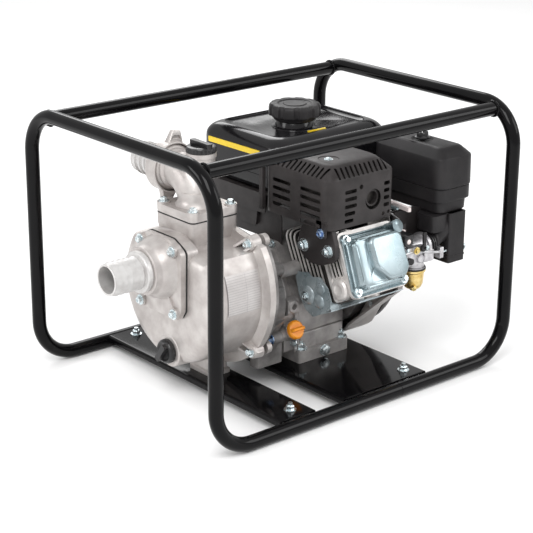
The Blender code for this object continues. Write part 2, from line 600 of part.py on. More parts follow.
PIVOTS = {          # where a moving piece turns, or the point that slides
    'crankshaft_pump_half': CX, 'crankshaft_flywheel_half': CX, 'impeller': CX, 'flywheel': CX,
    'cooling_fan': CX, 'recoil_reel': (181, 0, ZC), 'starter_grip': (181, 92, ZC + 42),
    'piston': cylpt(XC, 111, 0), 'wrist_pin': cylpt(XC, 111, 0), 'connecting_rod': cylpt(XC, 111, 0),
    'fuel_cap': (106, 76, 351), 'filler_cap': (XF, YF, 354), 'drain_plug': (-209, DRAIN.y, DRAIN.z),
    'oil_dipstick': DC, 'oil_drain_bolt': (44, -71, 22), 'air_cleaner_cover': (224, -90, 334),
    'air_cleaner_knob': (224, -90, 334), 'throttle_lever': (140, -70, 245), 'choke_lever': (154, -169, 190),
    'fuel_valve_lever': (128, -169, 174), 'engine_switch': (162, -84, 212), 'discharge_union_nut': PE,
    'check_valve_flap': (-197.3, 0, ZS + 32),
}


def material(finish):
    """The Principled material of a finish, made once."""
    if finish in bpy.data.materials:
        return bpy.data.materials[finish]
    colour, metallic, roughness = FINISHES[finish]
    m = bpy.data.materials.new(finish)
    m.use_nodes = True
    shader = m.node_tree.nodes['Principled BSDF']
    shader.inputs['Base Color'].default_value = (*colour, 1.0)
    shader.inputs['Metallic'].default_value = metallic
    shader.inputs['Roughness'].default_value = roughness
    m.diffuse_color = (*colour, 1.0)
    return m


def to_metres(p):
    return Vector(((p[0] + SX) * 0.001, p[1] * 0.001, (p[2] + SZ) * 0.001))


def place(ob):
    """Mesh in metres, measured from the piece's own pivot."""
    pivot = to_metres(PIVOTS[ob.name]) if ob.name in PIVOTS else Vector((0, 0, 0))
    turned = ob.matrix_world.copy()
    for v in ob.data.vertices:
        v.co = to_metres(turned @ v.co) - pivot
    ob.matrix_world = Matrix.Translation(pivot)
    ob.data.materials.clear()
    ob.data.materials.append(material(FINISH_OF.get(ob.name, 'black_plastic')))


for ob in NODES:
    place(ob)
for ob in list(bpy.data.objects):
    if ob not in NODES:
        bpy.data.objects.remove(ob, do_unlink=True)
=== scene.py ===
"""Looks of a gas engine trash pump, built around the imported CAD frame.

Sizes are in millimetres on the CAD's own drawing axes: x along the crankshaft with the suction port at -x,
y front (-) to rear (+), z up. metres() turns them into the frame's metres.
"""
import math

import bmesh
import bpy
from mathutils import Matrix, Vector


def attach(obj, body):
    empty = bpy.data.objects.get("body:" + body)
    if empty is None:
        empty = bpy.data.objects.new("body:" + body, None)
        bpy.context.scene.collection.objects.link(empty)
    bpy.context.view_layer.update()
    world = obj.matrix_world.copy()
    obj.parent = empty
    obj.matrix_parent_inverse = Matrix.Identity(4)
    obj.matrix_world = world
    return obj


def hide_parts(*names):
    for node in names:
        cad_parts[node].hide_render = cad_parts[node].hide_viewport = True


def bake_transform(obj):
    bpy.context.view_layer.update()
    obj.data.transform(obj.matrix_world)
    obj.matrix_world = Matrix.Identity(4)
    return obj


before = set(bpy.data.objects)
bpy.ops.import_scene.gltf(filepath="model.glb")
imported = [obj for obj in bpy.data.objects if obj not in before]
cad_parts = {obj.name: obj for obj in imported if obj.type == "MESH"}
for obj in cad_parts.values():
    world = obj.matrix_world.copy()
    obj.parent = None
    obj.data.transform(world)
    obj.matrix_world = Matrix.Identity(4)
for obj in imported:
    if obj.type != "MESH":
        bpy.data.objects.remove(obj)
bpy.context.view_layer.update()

MM = 0.001
ORIGIN_SHIFT = Vector((6.325, 0.0, 10.65))      # the CAD's drawing origin, seen from the frame's origin
CRANK_Z = 116.7                                 # height of the crankshaft
CYL_X = 50.0                                    # middle of the cylinder along the crankshaft
CYL_TILT = math.radians(25)                     # the bore points forward and up by this angle
CT, ST = math.cos(CYL_TILT), math.sin(CYL_TILT)
BORE = Vector((0, -CT, ST))
ACROSS = Vector((0, ST, CT))
CRANK = Vector((0, 0, CRANK_Z))
X, Y, Z = Vector((1, 0, 0)), Vector((0, 1, 0)), Vector((0, 0, 1))


def metres(p):
    return (Vector(p) + ORIGIN_SHIFT) * MM


def cyl(x, d, v):
    """Point in the cylinder's own frame: d out along the bore, v across it."""
    return Vector((x, -CT * d + ST * v, CRANK_Z + ST * d + CT * v))


def around(n):
    """n equal steps of angle round a circle, in radians."""
    return [2 * math.pi * k / n for k in range(n)]


def on_circle(r, deg):
    """(across, up) of a place on a circle, the angle in degrees."""
    return r * math.cos(math.radians(deg)), r * math.sin(math.radians(deg))


# ---------------------------------------------------------------- driving dimensions
BARREL = cyl(CYL_X, 0, 0)                       # where the bore's axis meets the crankshaft's
HEAD_FACE = 183.4                               # seat of the valve cover, along the bore
PLUG_X, PLUG_D = 30, 157                        # spark plug and exhaust port, in the cylinder's own frame
BEARING_R = 26.3
DRAIN_BOLT = (44, 0, 22)
TUBE_R, TUBE_BORE = 10.65, 8.65
FRAME_X, FRAME_Y, FRAME_Z = 288.0, 219.2, 398.3      # middle of the end hoops and side rails, height of the top
BEND, SEAM = 62.0, 60.0                         # bend radius of the cage, place of the joint in its bottom rails
RAIL_Y, RAIL_Z = 183.4, 390.8                   # top rails
PLATE_TOP = 10.65                               # top of the two cross plates
PUMP_Z, SUCTION_Z, DISCHARGE_X = 157.0, 197.0, -148.0
PORT_R = 24                                     # bore through both pump flanges
DRAIN = Vector((4, -8, 66))                     # pump drain plug
FLANGE_BOLTS = ((114, 138), (114, 42), (128, -136), (128, -44))     # radius and angle round the pump body
LUG_TURN = math.radians(10)                     # the union nut's lugs stand this far off upright
OUT = Vector((0, 1, 0))                         # the discharge bend points to the rear
UP = Vector((math.sin(LUG_TURN), 0, math.cos(LUG_TURN)))
ELBOW_TOP = Vector((DISCHARGE_X, 0, 322.0))
ELBOW_END = ELBOW_TOP + OUT * 62
GUARD_LOW, GUARD_SHOULDER, GUARD_TOP = 249.0, 321.0, 341.0
GUARD_SCREW = (15, -104)
TANK = dict(x0=0.0, x1=238.0, y0=-5.0, y1=183.0)
NECK = Vector((106, 76, 0))                     # tank neck and fuel cap
HOUSING_X = 158                                 # outer face of the fan housing
ROPE_X, ROPE_Z = 181, CRANK_Z + 42              # where the starter rope leaves its cover
KNOB = (224, -90, 0)                            # air cleaner's wing knob
CARB_Y = -145
CARB = (0, CARB_Y, 184)                         # axis of the carburettor's throat
BOWL = (158, CARB_Y, 0)                         # axis of the float bowl
COCK, CHOKE = (128, 0, 174), (154, 0, 190)      # fuel valve and choke pivots
BUSH = (124, 0, 206)
THROTTLE = (140, -70, 0)
SWITCH = (0, -84, 212)


# ---------------------------------------------------------------- mesh tools
def solid(verts, faces):
    mesh = bpy.data.meshes.new("shape")
    mesh.from_pydata([tuple(v) for v in verts], [], faces)
    bm = bmesh.new()
    bm.from_mesh(mesh)
    bmesh.ops.recalc_face_normals(bm, faces=bm.faces)
    bm.to_mesh(mesh)
    bm.free()
    ob = bpy.data.objects.new("shape", mesh)
    bpy.context.scene.collection.objects.link(ob)
    return ob


def loft(rings, closed=False):
    """Skin over rings with the same number of points; capped unless closed on itself."""
    n, m = len(rings[0]), len(rings)
    verts = [p for ring in rings for p in ring]
    faces = []
    for k in range(m if closed else m - 1):
        a, b = k * n, ((k + 1) % m) * n
        faces += [[a + i, a + (i + 1) % n, b + (i + 1) % n, b + i] for i in range(n)]
    if not closed:
        faces += [list(range(n))[::-1], [(m - 1) * n + i for i in range(n)]]
    return solid(verts, faces)


def across(axis):
    """Two directions square to the axis."""
    a = Vector(axis).normalized()
    u = Z if abs(a.z) < 0.9 else X
    u = (u - a * u.dot(a)).normalized()
    return a, u, a.cross(u)


def lathe(profile, centre, axis, n=64, turn=0.0):
    """Closed profile of (place along the axis, radius) turned about the axis. Radius 0 closes the middle."""
    a, u, w = across(axis)
    c = Vector(centre)
    verts, rows, faces = [], [], []
    for s, r in profile:
        if r < 1e-6:
            rows.append(None)
            continue
        rows.append(list(range(len(verts), len(verts) + n)))
        for i in range(n):
            t = 2 * math.pi * (i + turn) / n
            verts.append(c + a * s + (u * math.cos(t) + w * math.sin(t)) * r)
    for k in range(len(rows)):
        p, q = rows[k], rows[(k + 1) % len(rows)]
        if p is None and q is None:
            continue
        if p is None or q is None:
            faces.append(list(p or q))
            continue
        faces += [[p[i], p[(i + 1) % n], q[(i + 1) % n], q[i]] for i in range(n)]
    return solid(verts, faces)


def spun(profile, centre, axis, n=64, turn=0.0):
    """Solid of revolution: the profile's two ends are closed to the axis."""
    return lathe([(profile[0][0], 0), *profile, (profile[-1][0], 0)], centre, axis, n, turn)


def disc(centre, axis, radius, s0, s1, n=48):
    return lathe([(s0, 0), (s0, radius), (s1, radius), (s1, 0)], centre, axis, n)


def ring(centre, axis, inner, outer, s0, s1, n=48):
    return lathe([(s0, inner), (s0, outer), (s1, outer), (s1, inner)], centre, axis, n)


def arc(cx, cy, r, start, end, steps):
    """Points on an arc, in degrees."""
    out = []
    for k in range(steps + 1):
        t = math.radians(start + (end - start) * k / steps)
        out.append((cx + r * math.cos(t), cy + r * math.sin(t)))
    return out


def rounded(points, radius, steps=6):
    """Flat outline with its corners rounded; radius is one number or one for each corner."""
    out = []
    n = len(points)
    for i, p in enumerate(points):
        r = radius[i] if isinstance(radius, (list, tuple)) else radius
        p = Vector(p)
        a = Vector(points[i - 1]) - p
        b = Vector(points[(i + 1) % n]) - p
        if r <= 0:
            out.append(tuple(p))
            continue
        half = a.angle(b) / 2
        t = min(r / math.tan(half), 0.45 * a.length, 0.45 * b.length)
        start, end = p + a.normalized() * t, p + b.normalized() * t
        for k in range(steps + 1):
            s = k / steps
            out.append(tuple(start * (1 - s) ** 2 + p * 2 * s * (1 - s) + end * s * s))
    return out


def rect(a0, a1, b0, b1, radius=0, steps=6):
    return rounded([(a0, b0), (a1, b0), (a1, b1), (a0, b1)], radius, steps)


def slab(outline, lo, hi, axis="z"):
    """Flat outline given a thickness along x, y or z, or along the bore where axis is 'bore' (outline in x, v)."""
    def place(p, s):
        if axis == "bore":
            return cyl(p[0], s, p[1])
        return {"x": (s, p[0], p[1]), "y": (p[0], s, p[1]), "z": (p[0], p[1], s)}[axis]
    return loft([[place(p, lo) for p in outline], [place(p, hi) for p in outline]])


def panel(points, radius, lo, hi, axis="z", steps=6):
    """Slab with rounded corners."""
    return slab(rounded(points, radius, steps), lo, hi, axis)


def block(x0, x1, y0, y1, z0, z1, r=0, axis="z"):
    if axis == "z":
        return slab(rect(x0, x1, y0, y1, r), z0, z1, "z")
    if axis == "y":
        return slab(rect(x0, x1, z0, z1, r), y0, y1, "y")
    return slab(rect(y0, y1, z0, z1, r), x0, x1, "x")


def bent(points, radius, steps=10):
    """Path with its bends rounded to a radius."""
    pts = [Vector(p) for p in points]
    out = [pts[0]]
    for i in range(1, len(pts) - 1):
        a = (pts[i - 1] - pts[i]).normalized()
        b = (pts[i + 1] - pts[i]).normalized()
        angle = a.angle(b)
        centre = pts[i] + (a + b).normalized() * (radius / math.sin(angle / 2))
        reach = radius / math.tan(angle / 2)
        start, end = pts[i] + a * reach - centre, pts[i] + b * reach - centre
        turn, pivot = start.angle(end), start.cross(end).normalized()
        out += [centre + Matrix.Rotation(turn * k / steps, 3, pivot) @ start for k in range(steps + 1)]
    out.append(pts[-1])
    return out


def tube(path, outer, inner=None, n=32):
    """Round tube along a path, hollow where inner is given."""
    path = [Vector(p) for p in path]
    rings_out, rings_in = [], []
    u = None
    before = None
    for i, p in enumerate(path):
        a = (path[i] - path[i - 1]).normalized() if i else (path[1] - path[0]).normalized()
        b = (path[i + 1] - path[i]).normalized() if i < len(path) - 1 else a
        t = (a + b).normalized()
        u = across(t)[1] if u is None else before.rotation_difference(t) @ u
        u = (u - t * u.dot(t)).normalized()
        w = t.cross(u)
        before = t
        rings_out.append([p + (u * math.cos(q) + w * math.sin(q)) * outer for q in around(n)])
        if inner:
            rings_in.append([p + (u * math.cos(q) + w * math.sin(q)) * inner for q in around(n)])
    return loft(rings_out + rings_in[::-1], closed=True) if inner else loft(rings_out)


def boolean(a, b, operation):
    m = a.modifiers.new("cut", "BOOLEAN")
    m.operation, m.solver, m.object = operation, "EXACT", b
    bpy.context.view_layer.update()
    graph = bpy.context.evaluated_depsgraph_get()
    mesh = bpy.data.meshes.new_from_object(a.evaluated_get(graph))
    a.modifiers.clear()
    a.data = mesh
    bpy.data.objects.remove(b, do_unlink=True)
    return a


def cut(a, *tools):
    """a less the tools. Tools that don't touch each other are cut in one go."""
    return boolean(a, together(*tools), "DIFFERENCE") if len(tools) > 1 else boolean(a, tools[0], "DIFFERENCE")


def add(a, *others):
    for other in others:
        boolean(a, other, "UNION")
    return a


def together(*obs):
    """One object from several that stay separate shells."""
    bm = bmesh.new()
    for ob in obs:
        bm.from_mesh(ob.data)
        bpy.data.objects.remove(ob, do_unlink=True)
    mesh = bpy.data.meshes.new("group")
    bm.to_mesh(mesh)
    bm.free()
    group = bpy.data.objects.new("group", mesh)
    bpy.context.scene.collection.objects.link(group)
    return group


def moved(ob, matrix):
    ob.data.transform(matrix)
    return ob


def turned(ob, angle, axis, centre):
    c = Matrix.Translation(Vector(centre))
    return moved(ob, c @ Matrix.Rotation(math.radians(angle), 4, axis) @ c.inverted())


# ---------------------------------------------------------------- materials
def noise(tree, scale, detail=4.0, rough=0.55, stretch=None):
    where = tree.nodes.new("ShaderNodeTexCoord").outputs["Object"]
    if stretch:
        mapping = tree.nodes.new("ShaderNodeMapping")
        mapping.inputs["Scale"].default_value = stretch
        tree.links.new(where, mapping.inputs["Vector"])
        where = mapping.outputs["Vector"]
    n = tree.nodes.new("ShaderNodeTexNoise")
    n.inputs["Scale"].default_value = scale
    n.inputs["Detail"].default_value = detail
    n.inputs["Roughness"].default_value = rough
    tree.links.new(where, n.inputs["Vector"])
    return n.outputs["Fac"]


def spread(tree, source, low, high, start=0.3, end=0.7):
    """Maps a noise onto a range of numbers."""
    m = tree.nodes.new("ShaderNodeMapRange")
    m.inputs["From Min"].default_value = start
    m.inputs["From Max"].default_value = end
    m.inputs["To Min"].default_value = low
    m.inputs["To Max"].default_value = high
    tree.links.new(source, m.inputs["Value"])
    return m.outputs["Result"]


def material(name, colour, other, metallic, roughness, mottle=30.0, grain=900.0, bump=0.02, swing=0.08,
             coat=0.0, stretch=None, dents=None, specular=0.5):
    """Procedural material: two colours mixed by a slow noise, a fine grain in bump and roughness."""
    m = bpy.data.materials.new(name)
    m.use_nodes = True
    tree = m.node_tree
    shader = tree.nodes["Principled BSDF"]
    ramp = tree.nodes.new("ShaderNodeValToRGB")
    ramp.color_ramp.elements[0].position, ramp.color_ramp.elements[1].position = 0.36, 0.66
    ramp.color_ramp.elements[0].color = (*colour, 1)
    ramp.color_ramp.elements[1].color = (*other, 1)
    tree.links.new(noise(tree, mottle, 5.0, 0.6, stretch), ramp.inputs["Fac"])
    tree.links.new(ramp.outputs["Color"], shader.inputs["Base Color"])
    fine = noise(tree, grain, 3.0, 0.5, stretch)
    patch = noise(tree, mottle * 1.7, 3.0)
    tree.links.new(spread(tree, patch, roughness - swing, roughness + swing), shader.inputs["Roughness"])
    b = tree.nodes.new("ShaderNodeBump")
    b.inputs["Strength"].default_value = 1.0
    b.inputs["Distance"].default_value = bump * MM
    tree.links.new(fine, b.inputs["Height"])
    last = b
    if dents:
        b2 = tree.nodes.new("ShaderNodeBump")
        b2.inputs["Distance"].default_value = dents[1] * MM
        tree.links.new(noise(tree, dents[0], 2.0), b2.inputs["Height"])
        tree.links.new(b.outputs["Normal"], b2.inputs["Normal"])
        last = b2
    tree.links.new(last.outputs["Normal"], shader.inputs["Normal"])
    shader.inputs["Metallic"].default_value = metallic
    shader.inputs["Specular IOR Level"].default_value = specular
    shader.inputs["Coat Weight"].default_value = coat
    shader.inputs["Coat Roughness"].default_value = 0.06
    return m


MATERIALS = {
    "frame_paint": material("frame_gloss_paint", (0.002, 0.002, 0.0024), (0.004, 0.0036, 0.004), 0.0, 0.10,
                            mottle=14, grain=420, bump=0.02, swing=0.025, specular=0.15),
    "cast_pump": material("pale_cast_aluminium", (0.45, 0.415, 0.40), (0.58, 0.55, 0.53), 0.55, 0.42,
                          mottle=38, grain=1300, bump=0.10, swing=0.08, dents=(90, 0.22)),
    "cast_barb": material("machined_hose_tail", (0.56, 0.545, 0.535), (0.67, 0.66, 0.65), 0.5, 0.40,
                          mottle=60, grain=1500, bump=0.06, swing=0.07),
    "cast_engine": material("grey_cast_aluminium", (0.27, 0.255, 0.25), (0.42, 0.40, 0.39), 0.4, 0.42,
                            mottle=44, grain=1400, bump=0.12, swing=0.09, dents=(120, 0.2)),
    "cast_fin": material("cast_fins", (0.58, 0.55, 0.53), (0.76, 0.73, 0.71), 0.35, 0.36,
                         mottle=60, grain=1500, bump=0.08, swing=0.08),
    # dark grey of the cast adapter bell; the same colour paints shade on the head core between the fins
    "dark_cast_and_head_shade": material("dark_cast_adapter_and_head_shade", (0.14, 0.133, 0.13), (0.28, 0.268, 0.262), 0.4, 0.44,
                          mottle=36, grain=1300, bump=0.12, swing=0.08, dents=(110, 0.2)),
    "gasket": material("gasket_rubber", (0.012, 0.012, 0.012), (0.025, 0.024, 0.024), 0.0, 0.75,
                       mottle=80, grain=1700, bump=0.05),
    "black_plastic": material("moulded_black_plastic", (0.013, 0.012, 0.013), (0.022, 0.020, 0.021), 0.0, 0.44,
                              mottle=22, grain=2400, bump=0.05, swing=0.05, specular=0.28),
    "gloss_plastic": material("black_gloss_plastic", (0.009, 0.009, 0.010), (0.015, 0.014, 0.015), 0.0, 0.30,
                              mottle=30, grain=1600, bump=0.02, swing=0.05),
    "steel": material("bare_steel", (0.42, 0.42, 0.43), (0.60, 0.60, 0.61), 1.0, 0.34,
                      mottle=70, grain=1500, bump=0.04, swing=0.08),
    "zinc": material("zinc_plate", (0.25, 0.325, 0.35), (0.36, 0.43, 0.455), 0.7, 0.28,
                     mottle=16, grain=900, bump=0.012, swing=0.04, dents=(20, 0.04)),
    "zinc_sheet": material("zinc_sheet", (0.22, 0.27, 0.29), (0.40, 0.45, 0.47), 0.35, 0.28,
                           mottle=30, grain=900, bump=0.015, swing=0.08, dents=(40, 0.08)),
    "bolt_zinc": material("zinc_bolts", (0.52, 0.60, 0.63), (0.80, 0.85, 0.86), 1.0, 0.27,
                          mottle=240, grain=1500, bump=0.02, swing=0.10),
    "bolt_blue": material("blue_locked_bolts", (0.06, 0.16, 0.42), (0.52, 0.62, 0.72), 0.9, 0.30,
                          mottle=210, grain=1500, bump=0.02, swing=0.10),
    "iron": material("cast_iron", (0.075, 0.07, 0.068), (0.14, 0.13, 0.125), 0.7, 0.58,
                     mottle=40, grain=1000, bump=0.2, dents=(140, 0.25)),
    "tank_paint": material("tank_gloss_black", (0.005, 0.005, 0.006), (0.009, 0.008, 0.009), 0.0, 0.16,
                           mottle=10, grain=300, bump=0.02, swing=0.04, specular=0.3),
    "heat_black": material("satin_heat_paint", (0.024, 0.021, 0.021), (0.040, 0.035, 0.035), 0.1, 0.42,
                           mottle=26, grain=1700, bump=0.07, swing=0.06, specular=0.28),
    "orange": material("orange_plastic", (0.86, 0.27, 0.012), (0.95, 0.36, 0.02), 0.0, 0.34,
                       mottle=40, grain=1500, bump=0.03, swing=0.04),
    "yellow_zinc": material("yellow_passivated", (0.62, 0.42, 0.12), (0.84, 0.66, 0.30), 1.0, 0.33,
                            mottle=90, grain=1200, bump=0.03, swing=0.08),
    "brass": material("brass", (0.70, 0.55, 0.22), (0.85, 0.72, 0.38), 1.0, 0.28,
                      mottle=90, grain=1200, bump=0.02, swing=0.08),
    "carb_metal": material("bright_die_casting", (0.42, 0.41, 0.43), (0.66, 0.65, 0.66), 0.85, 0.36,
                           mottle=120, grain=1400, bump=0.06, swing=0.10),
    "filter_paper": material("pleated_paper", (0.70, 0.60, 0.36), (0.82, 0.73, 0.50), 0.0, 0.9,
                             mottle=300, grain=900, bump=0.2),
    "ceramic": material("white_ceramic", (0.82, 0.81, 0.78), (0.90, 0.89, 0.87), 0.0, 0.18,
                        mottle=60, grain=500, bump=0.01, swing=0.04),
    "rubber": material("black_rubber_hose", (0.014, 0.014, 0.014), (0.024, 0.024, 0.024), 0.0, 0.55,
                       mottle=50, grain=1200, bump=0.05),
    "yellow": material("yellow_decal", (0.84, 0.58, 0.012), (0.90, 0.64, 0.02), 0.0, 0.35,
                       mottle=20, grain=900, bump=0.01, swing=0.03),
    "pink_white": material("pale_nylon", (0.80, 0.70, 0.68), (0.88, 0.80, 0.78), 0.0, 0.40,
                           mottle=70, grain=900, bump=0.02, swing=0.04),
    "housing": material("fan_housing_paint", (0.24, 0.22, 0.21), (0.34, 0.315, 0.305), 0.3, 0.36,
                        mottle=16, grain=1100, bump=0.05, swing=0.06),
    "rope": material("starter_cord", (0.55, 0.54, 0.50), (0.75, 0.74, 0.70), 0.0, 0.85,
                     mottle=900, grain=2400, bump=0.25),
    # sooty black of the muffler can; the same colour also paints shade on the fin middles
    "soot_and_fin_shade": material("sooty_steel_and_fin_shade", (0.020, 0.018, 0.017), (0.05, 0.044, 0.04), 0.5, 0.6,
                     mottle=60, grain=900, bump=0.1),
}


def ruled_label():
    """Pale plate with fine ruled rows and one column line, and no lettering."""
    m = material("ruled_label", (0.50, 0.475, 0.465), (0.57, 0.55, 0.54), 0.45, 0.42, mottle=40, grain=1300,
                 bump=0.03)
    tree = m.node_tree
    shader = tree.nodes["Principled BSDF"]
    colour = shader.inputs["Base Color"].links[0].from_socket
    where = tree.nodes.new("ShaderNodeTexCoord").outputs["Generated"]
    axes = tree.nodes.new("ShaderNodeSeparateXYZ")
    tree.links.new(where, axes.inputs["Vector"])

    def line(source, count, width):
        times = tree.nodes.new("ShaderNodeMath")
        times.operation = "MULTIPLY"
        times.inputs[1].default_value = count
        tree.links.new(source, times.inputs[0])
        part = tree.nodes.new("ShaderNodeMath")
        part.operation = "FRACT"
        tree.links.new(times.outputs[0], part.inputs[0])
        less = tree.nodes.new("ShaderNodeMath")
        less.operation = "LESS_THAN"
        less.inputs[1].default_value = width
        tree.links.new(part.outputs[0], less.inputs[0])
        return less.outputs[0]

    rows, columns = line(axes.outputs["Z"], 16.0, 0.12), line(axes.outputs["X"], 1.7, 0.012)
    either = tree.nodes.new("ShaderNodeMath")
    either.operation = "MAXIMUM"
    tree.links.new(rows, either.inputs[0])
    tree.links.new(columns, either.inputs[1])
    mix = tree.nodes.new("ShaderNodeMix")
    mix.data_type = "RGBA"
    tree.links.new(either.outputs[0], mix.inputs["Factor"])
    tree.links.new(colour, mix.inputs["A"])
    mix.inputs["B"].default_value = (0.33, 0.31, 0.32, 1)
    tree.links.new(mix.outputs["Result"], shader.inputs["Base Color"])
    return m


MATERIALS["label"] = ruled_label()


def piece(name, ob, look, body="base", stands_for=(), bevel=0.5, steps=2, crease=32):
    """Names a finished shape, gives it its material and edges, and rides it on its body."""
    ob.name = name
    ob.data.name = name
    for v in ob.data.vertices:
        v.co = metres(v.co)
    ob.data.materials.clear()
    ob.data.materials.append(MATERIALS[look])
    ob.data.polygons.foreach_set("use_smooth", [True] * len(ob.data.polygons))
    if bevel:
        m = ob.modifiers.new("edges", "BEVEL")
        m.width = bevel * MM
        m.segments = steps
        m.limit_method = "ANGLE"
        m.angle_limit = math.radians(crease)
        m.harden_normals = True
        m.miter_outer = "MITER_ARC"
    else:
        ob.data.set_sharp_from_angle(angle=math.radians(crease))
    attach(ob, body)
    if stands_for:
        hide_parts(*stands_for)
    return ob


# ---------------------------------------------------------------- fasteners
def hex_bolt(at, axis, across_flats=10.0, head=5.0, washer=0.45, turn=0.2, stud=0.0):
    """Hexagon head with a chamfered top, a dished middle and a washer face, standing on 'at'."""
    r = across_flats / 2 / math.cos(math.pi / 6)
    t = 1.4 if washer else 0.0
    parts = [spun([(t - 0.4, r), (t + head - 1.1, r), (t + head, r * 0.86), (t + head, r * 0.5),
                   (t + head - 0.8, r * 0.42)], at, axis, 6, turn)]
    if washer:
        parts.append(disc(at, axis, r * (1 + washer), -0.4, t, 28))
    if stud:
        parts.append(disc(at, axis, across_flats * 0.3, t + head - 1.2, t + head + stud, 16))
    return together(*parts)


def screw(at, axis, radius=4.0, head=2.4):
    """Domed cross-head screw on a washer."""
    a, u, w = across(axis)
    c = Vector(at)
    dome = spun([(0, radius), (head * 0.5, radius), (head * 0.85, radius * 0.75), (head, radius * 0.4)], c, a, 24)
    for p, q in ((u, w), (w, u)):
        corners = [p * (radius * 0.6 * i) + q * (0.55 * j) for i, j in ((-1, -1), (1, -1), (1, 1), (-1, 1))]
        cut(dome, loft([[c + k + a * (head - 0.9) for k in corners], [c + k + a * (head + 2) for k in corners]]))
    return together(dome, disc(c, a, radius * 1.45, -0.4, 0.5, 28))


def bolts(name, places, axis, look="bolt_zinc", body="base", make=hex_bolt, **sizes):
    """A set of like fasteners as one piece."""
    obs = [make(p, axis, turn=0.17 * i, **sizes) if make is hex_bolt else make(p, axis, **sizes)
           for i, p in enumerate(places)]
    return piece(name, together(*obs), look, body, bevel=0.25, steps=2)


# ---------------------------------------------------------------- frame
def weld(centre, axis, radius, width=2.4, n=96):
    """Bead of overlapping weld ripples round a joint."""
    a, u, w = across(axis)
    c = Vector(centre)
    rings = []
    for t in around(n):
        out = u * math.cos(t) + w * math.sin(t)
        fat = width * (0.82 + 0.18 * abs(math.sin(t * 14)))
        rings.append([c + out * (radius + fat * math.cos(q)) + a * (fat * 0.9 * math.sin(q))
                      for q in around(10)])
    return loft(rings, closed=True)


def build_frame():
    for name, side in (("left", -1), ("right", 1)):
        x, y, z, end = side * FRAME_X, FRAME_Y, FRAME_Z, SEAM + side * 0.2
        route = bent([(end, -y, 0), (x, -y, 0), (x, -y, z), (x, y, z), (x, y, 0), (end, y, 0)], BEND, 16)
        piece(f"hoop_{name}", tube(route, TUBE_R, TUBE_BORE, 40), "frame_paint",
              stands_for=[f"frame_{name}_hoop"], bevel=0.4)
    sleeves = [tube([(SEAM - 30, s * FRAME_Y, 0), (SEAM + 30, s * FRAME_Y, 0)], TUBE_BORE - 0.3, 7.0) for s in (-1,
                                                                                                                1)]
    piece("joint_sleeves", together(*sleeves), "steel")
    for name, s in (("front", -1), ("rear", 1)):
        ends = [(-FRAME_X + 5, s * RAIL_Y, RAIL_Z), (FRAME_X - 5, s * RAIL_Y, RAIL_Z)]
        piece(f"top_rail_{name}", tube(ends, TUBE_R, TUBE_BORE, 40), "frame_paint",
              stands_for=[f"frame_top_rail_{name}"], bevel=0)
        beads = [weld((i * (FRAME_X - TUBE_R + 0.4), s * RAIL_Y, RAIL_Z), X, TUBE_R + 0.4) for i in (-1, 1)]
        piece(f"rail_welds_{name}", together(*beads), "frame_paint", bevel=0)
    build_plate("crossmember_pump", -166, -98, [(-127.4, -188), (-127.4, 188)])
    build_plate("crossmember_engine", -44, 127, [(101, -188), (101, 188), (-22, 188)])


def build_plate(name, x0, x1, spots):
    """Pressed channel with rolled edges, welded to the bottom rails, with its bolts."""
    t, y, low = 3.0, FRAME_Y - TUBE_R + 2.0, 1.0
    outer = [(x0, low), (x0, PLATE_TOP), (x1, PLATE_TOP), (x1, low)]
    inner = [(x1 - t, low), (x1 - t, PLATE_TOP - t), (x0 + t, PLATE_TOP - t), (x0 + t, low)]
    outline = rounded(outer, [0, 5, 5, 0], 5) + rounded(inner, [0, 2, 2, 0], 3)
    plate = slab(outline, -y, y, "y")
    piece(name + "_channel", plate, "frame_paint", stands_for=[name], bevel=0.4)
    beads = []
    for s in (-1, 1):
        for k in range(2):
            a = x0 + 10 + k * (x1 - x0 - 44)
            for j in range(8):
                beads.append(lathe([(-2.6, 0), (-2.2, 1.4), (0, 2.4), (2.2, 1.4), (2.6, 0)],
                                   (a + j * 3.4, s * (FRAME_Y - TUBE_R + 0.6), 8.6), X, 12))
    piece(name + "_welds", together(*beads), "frame_paint", bevel=0)
    bolts(name + "_bolts", [(a, b, PLATE_TOP) for a, b in spots], Z, across_flats=11, head=6, stud=4)


# ---------------------------------------------------------------- pump
def body_outline(r, half, top, z=PUMP_Z):
    """Round pump body that runs up into the discharge neck, in (y, z)."""
    return arc(0, z, r, 35, -215, 72) + rounded([(-half, top), (half, top), (0, top - 40)], [9, 9, 0], 6)[:14]


def body_ring(x, r, half, top):
    return [(x, a, b) for a, b in body_outline(r, half, top)]


def flange_place(r, deg):
    """(y, z) of a bolt round the pump body."""
    y, z = on_circle(r, deg)
    return y, PUMP_Z + z


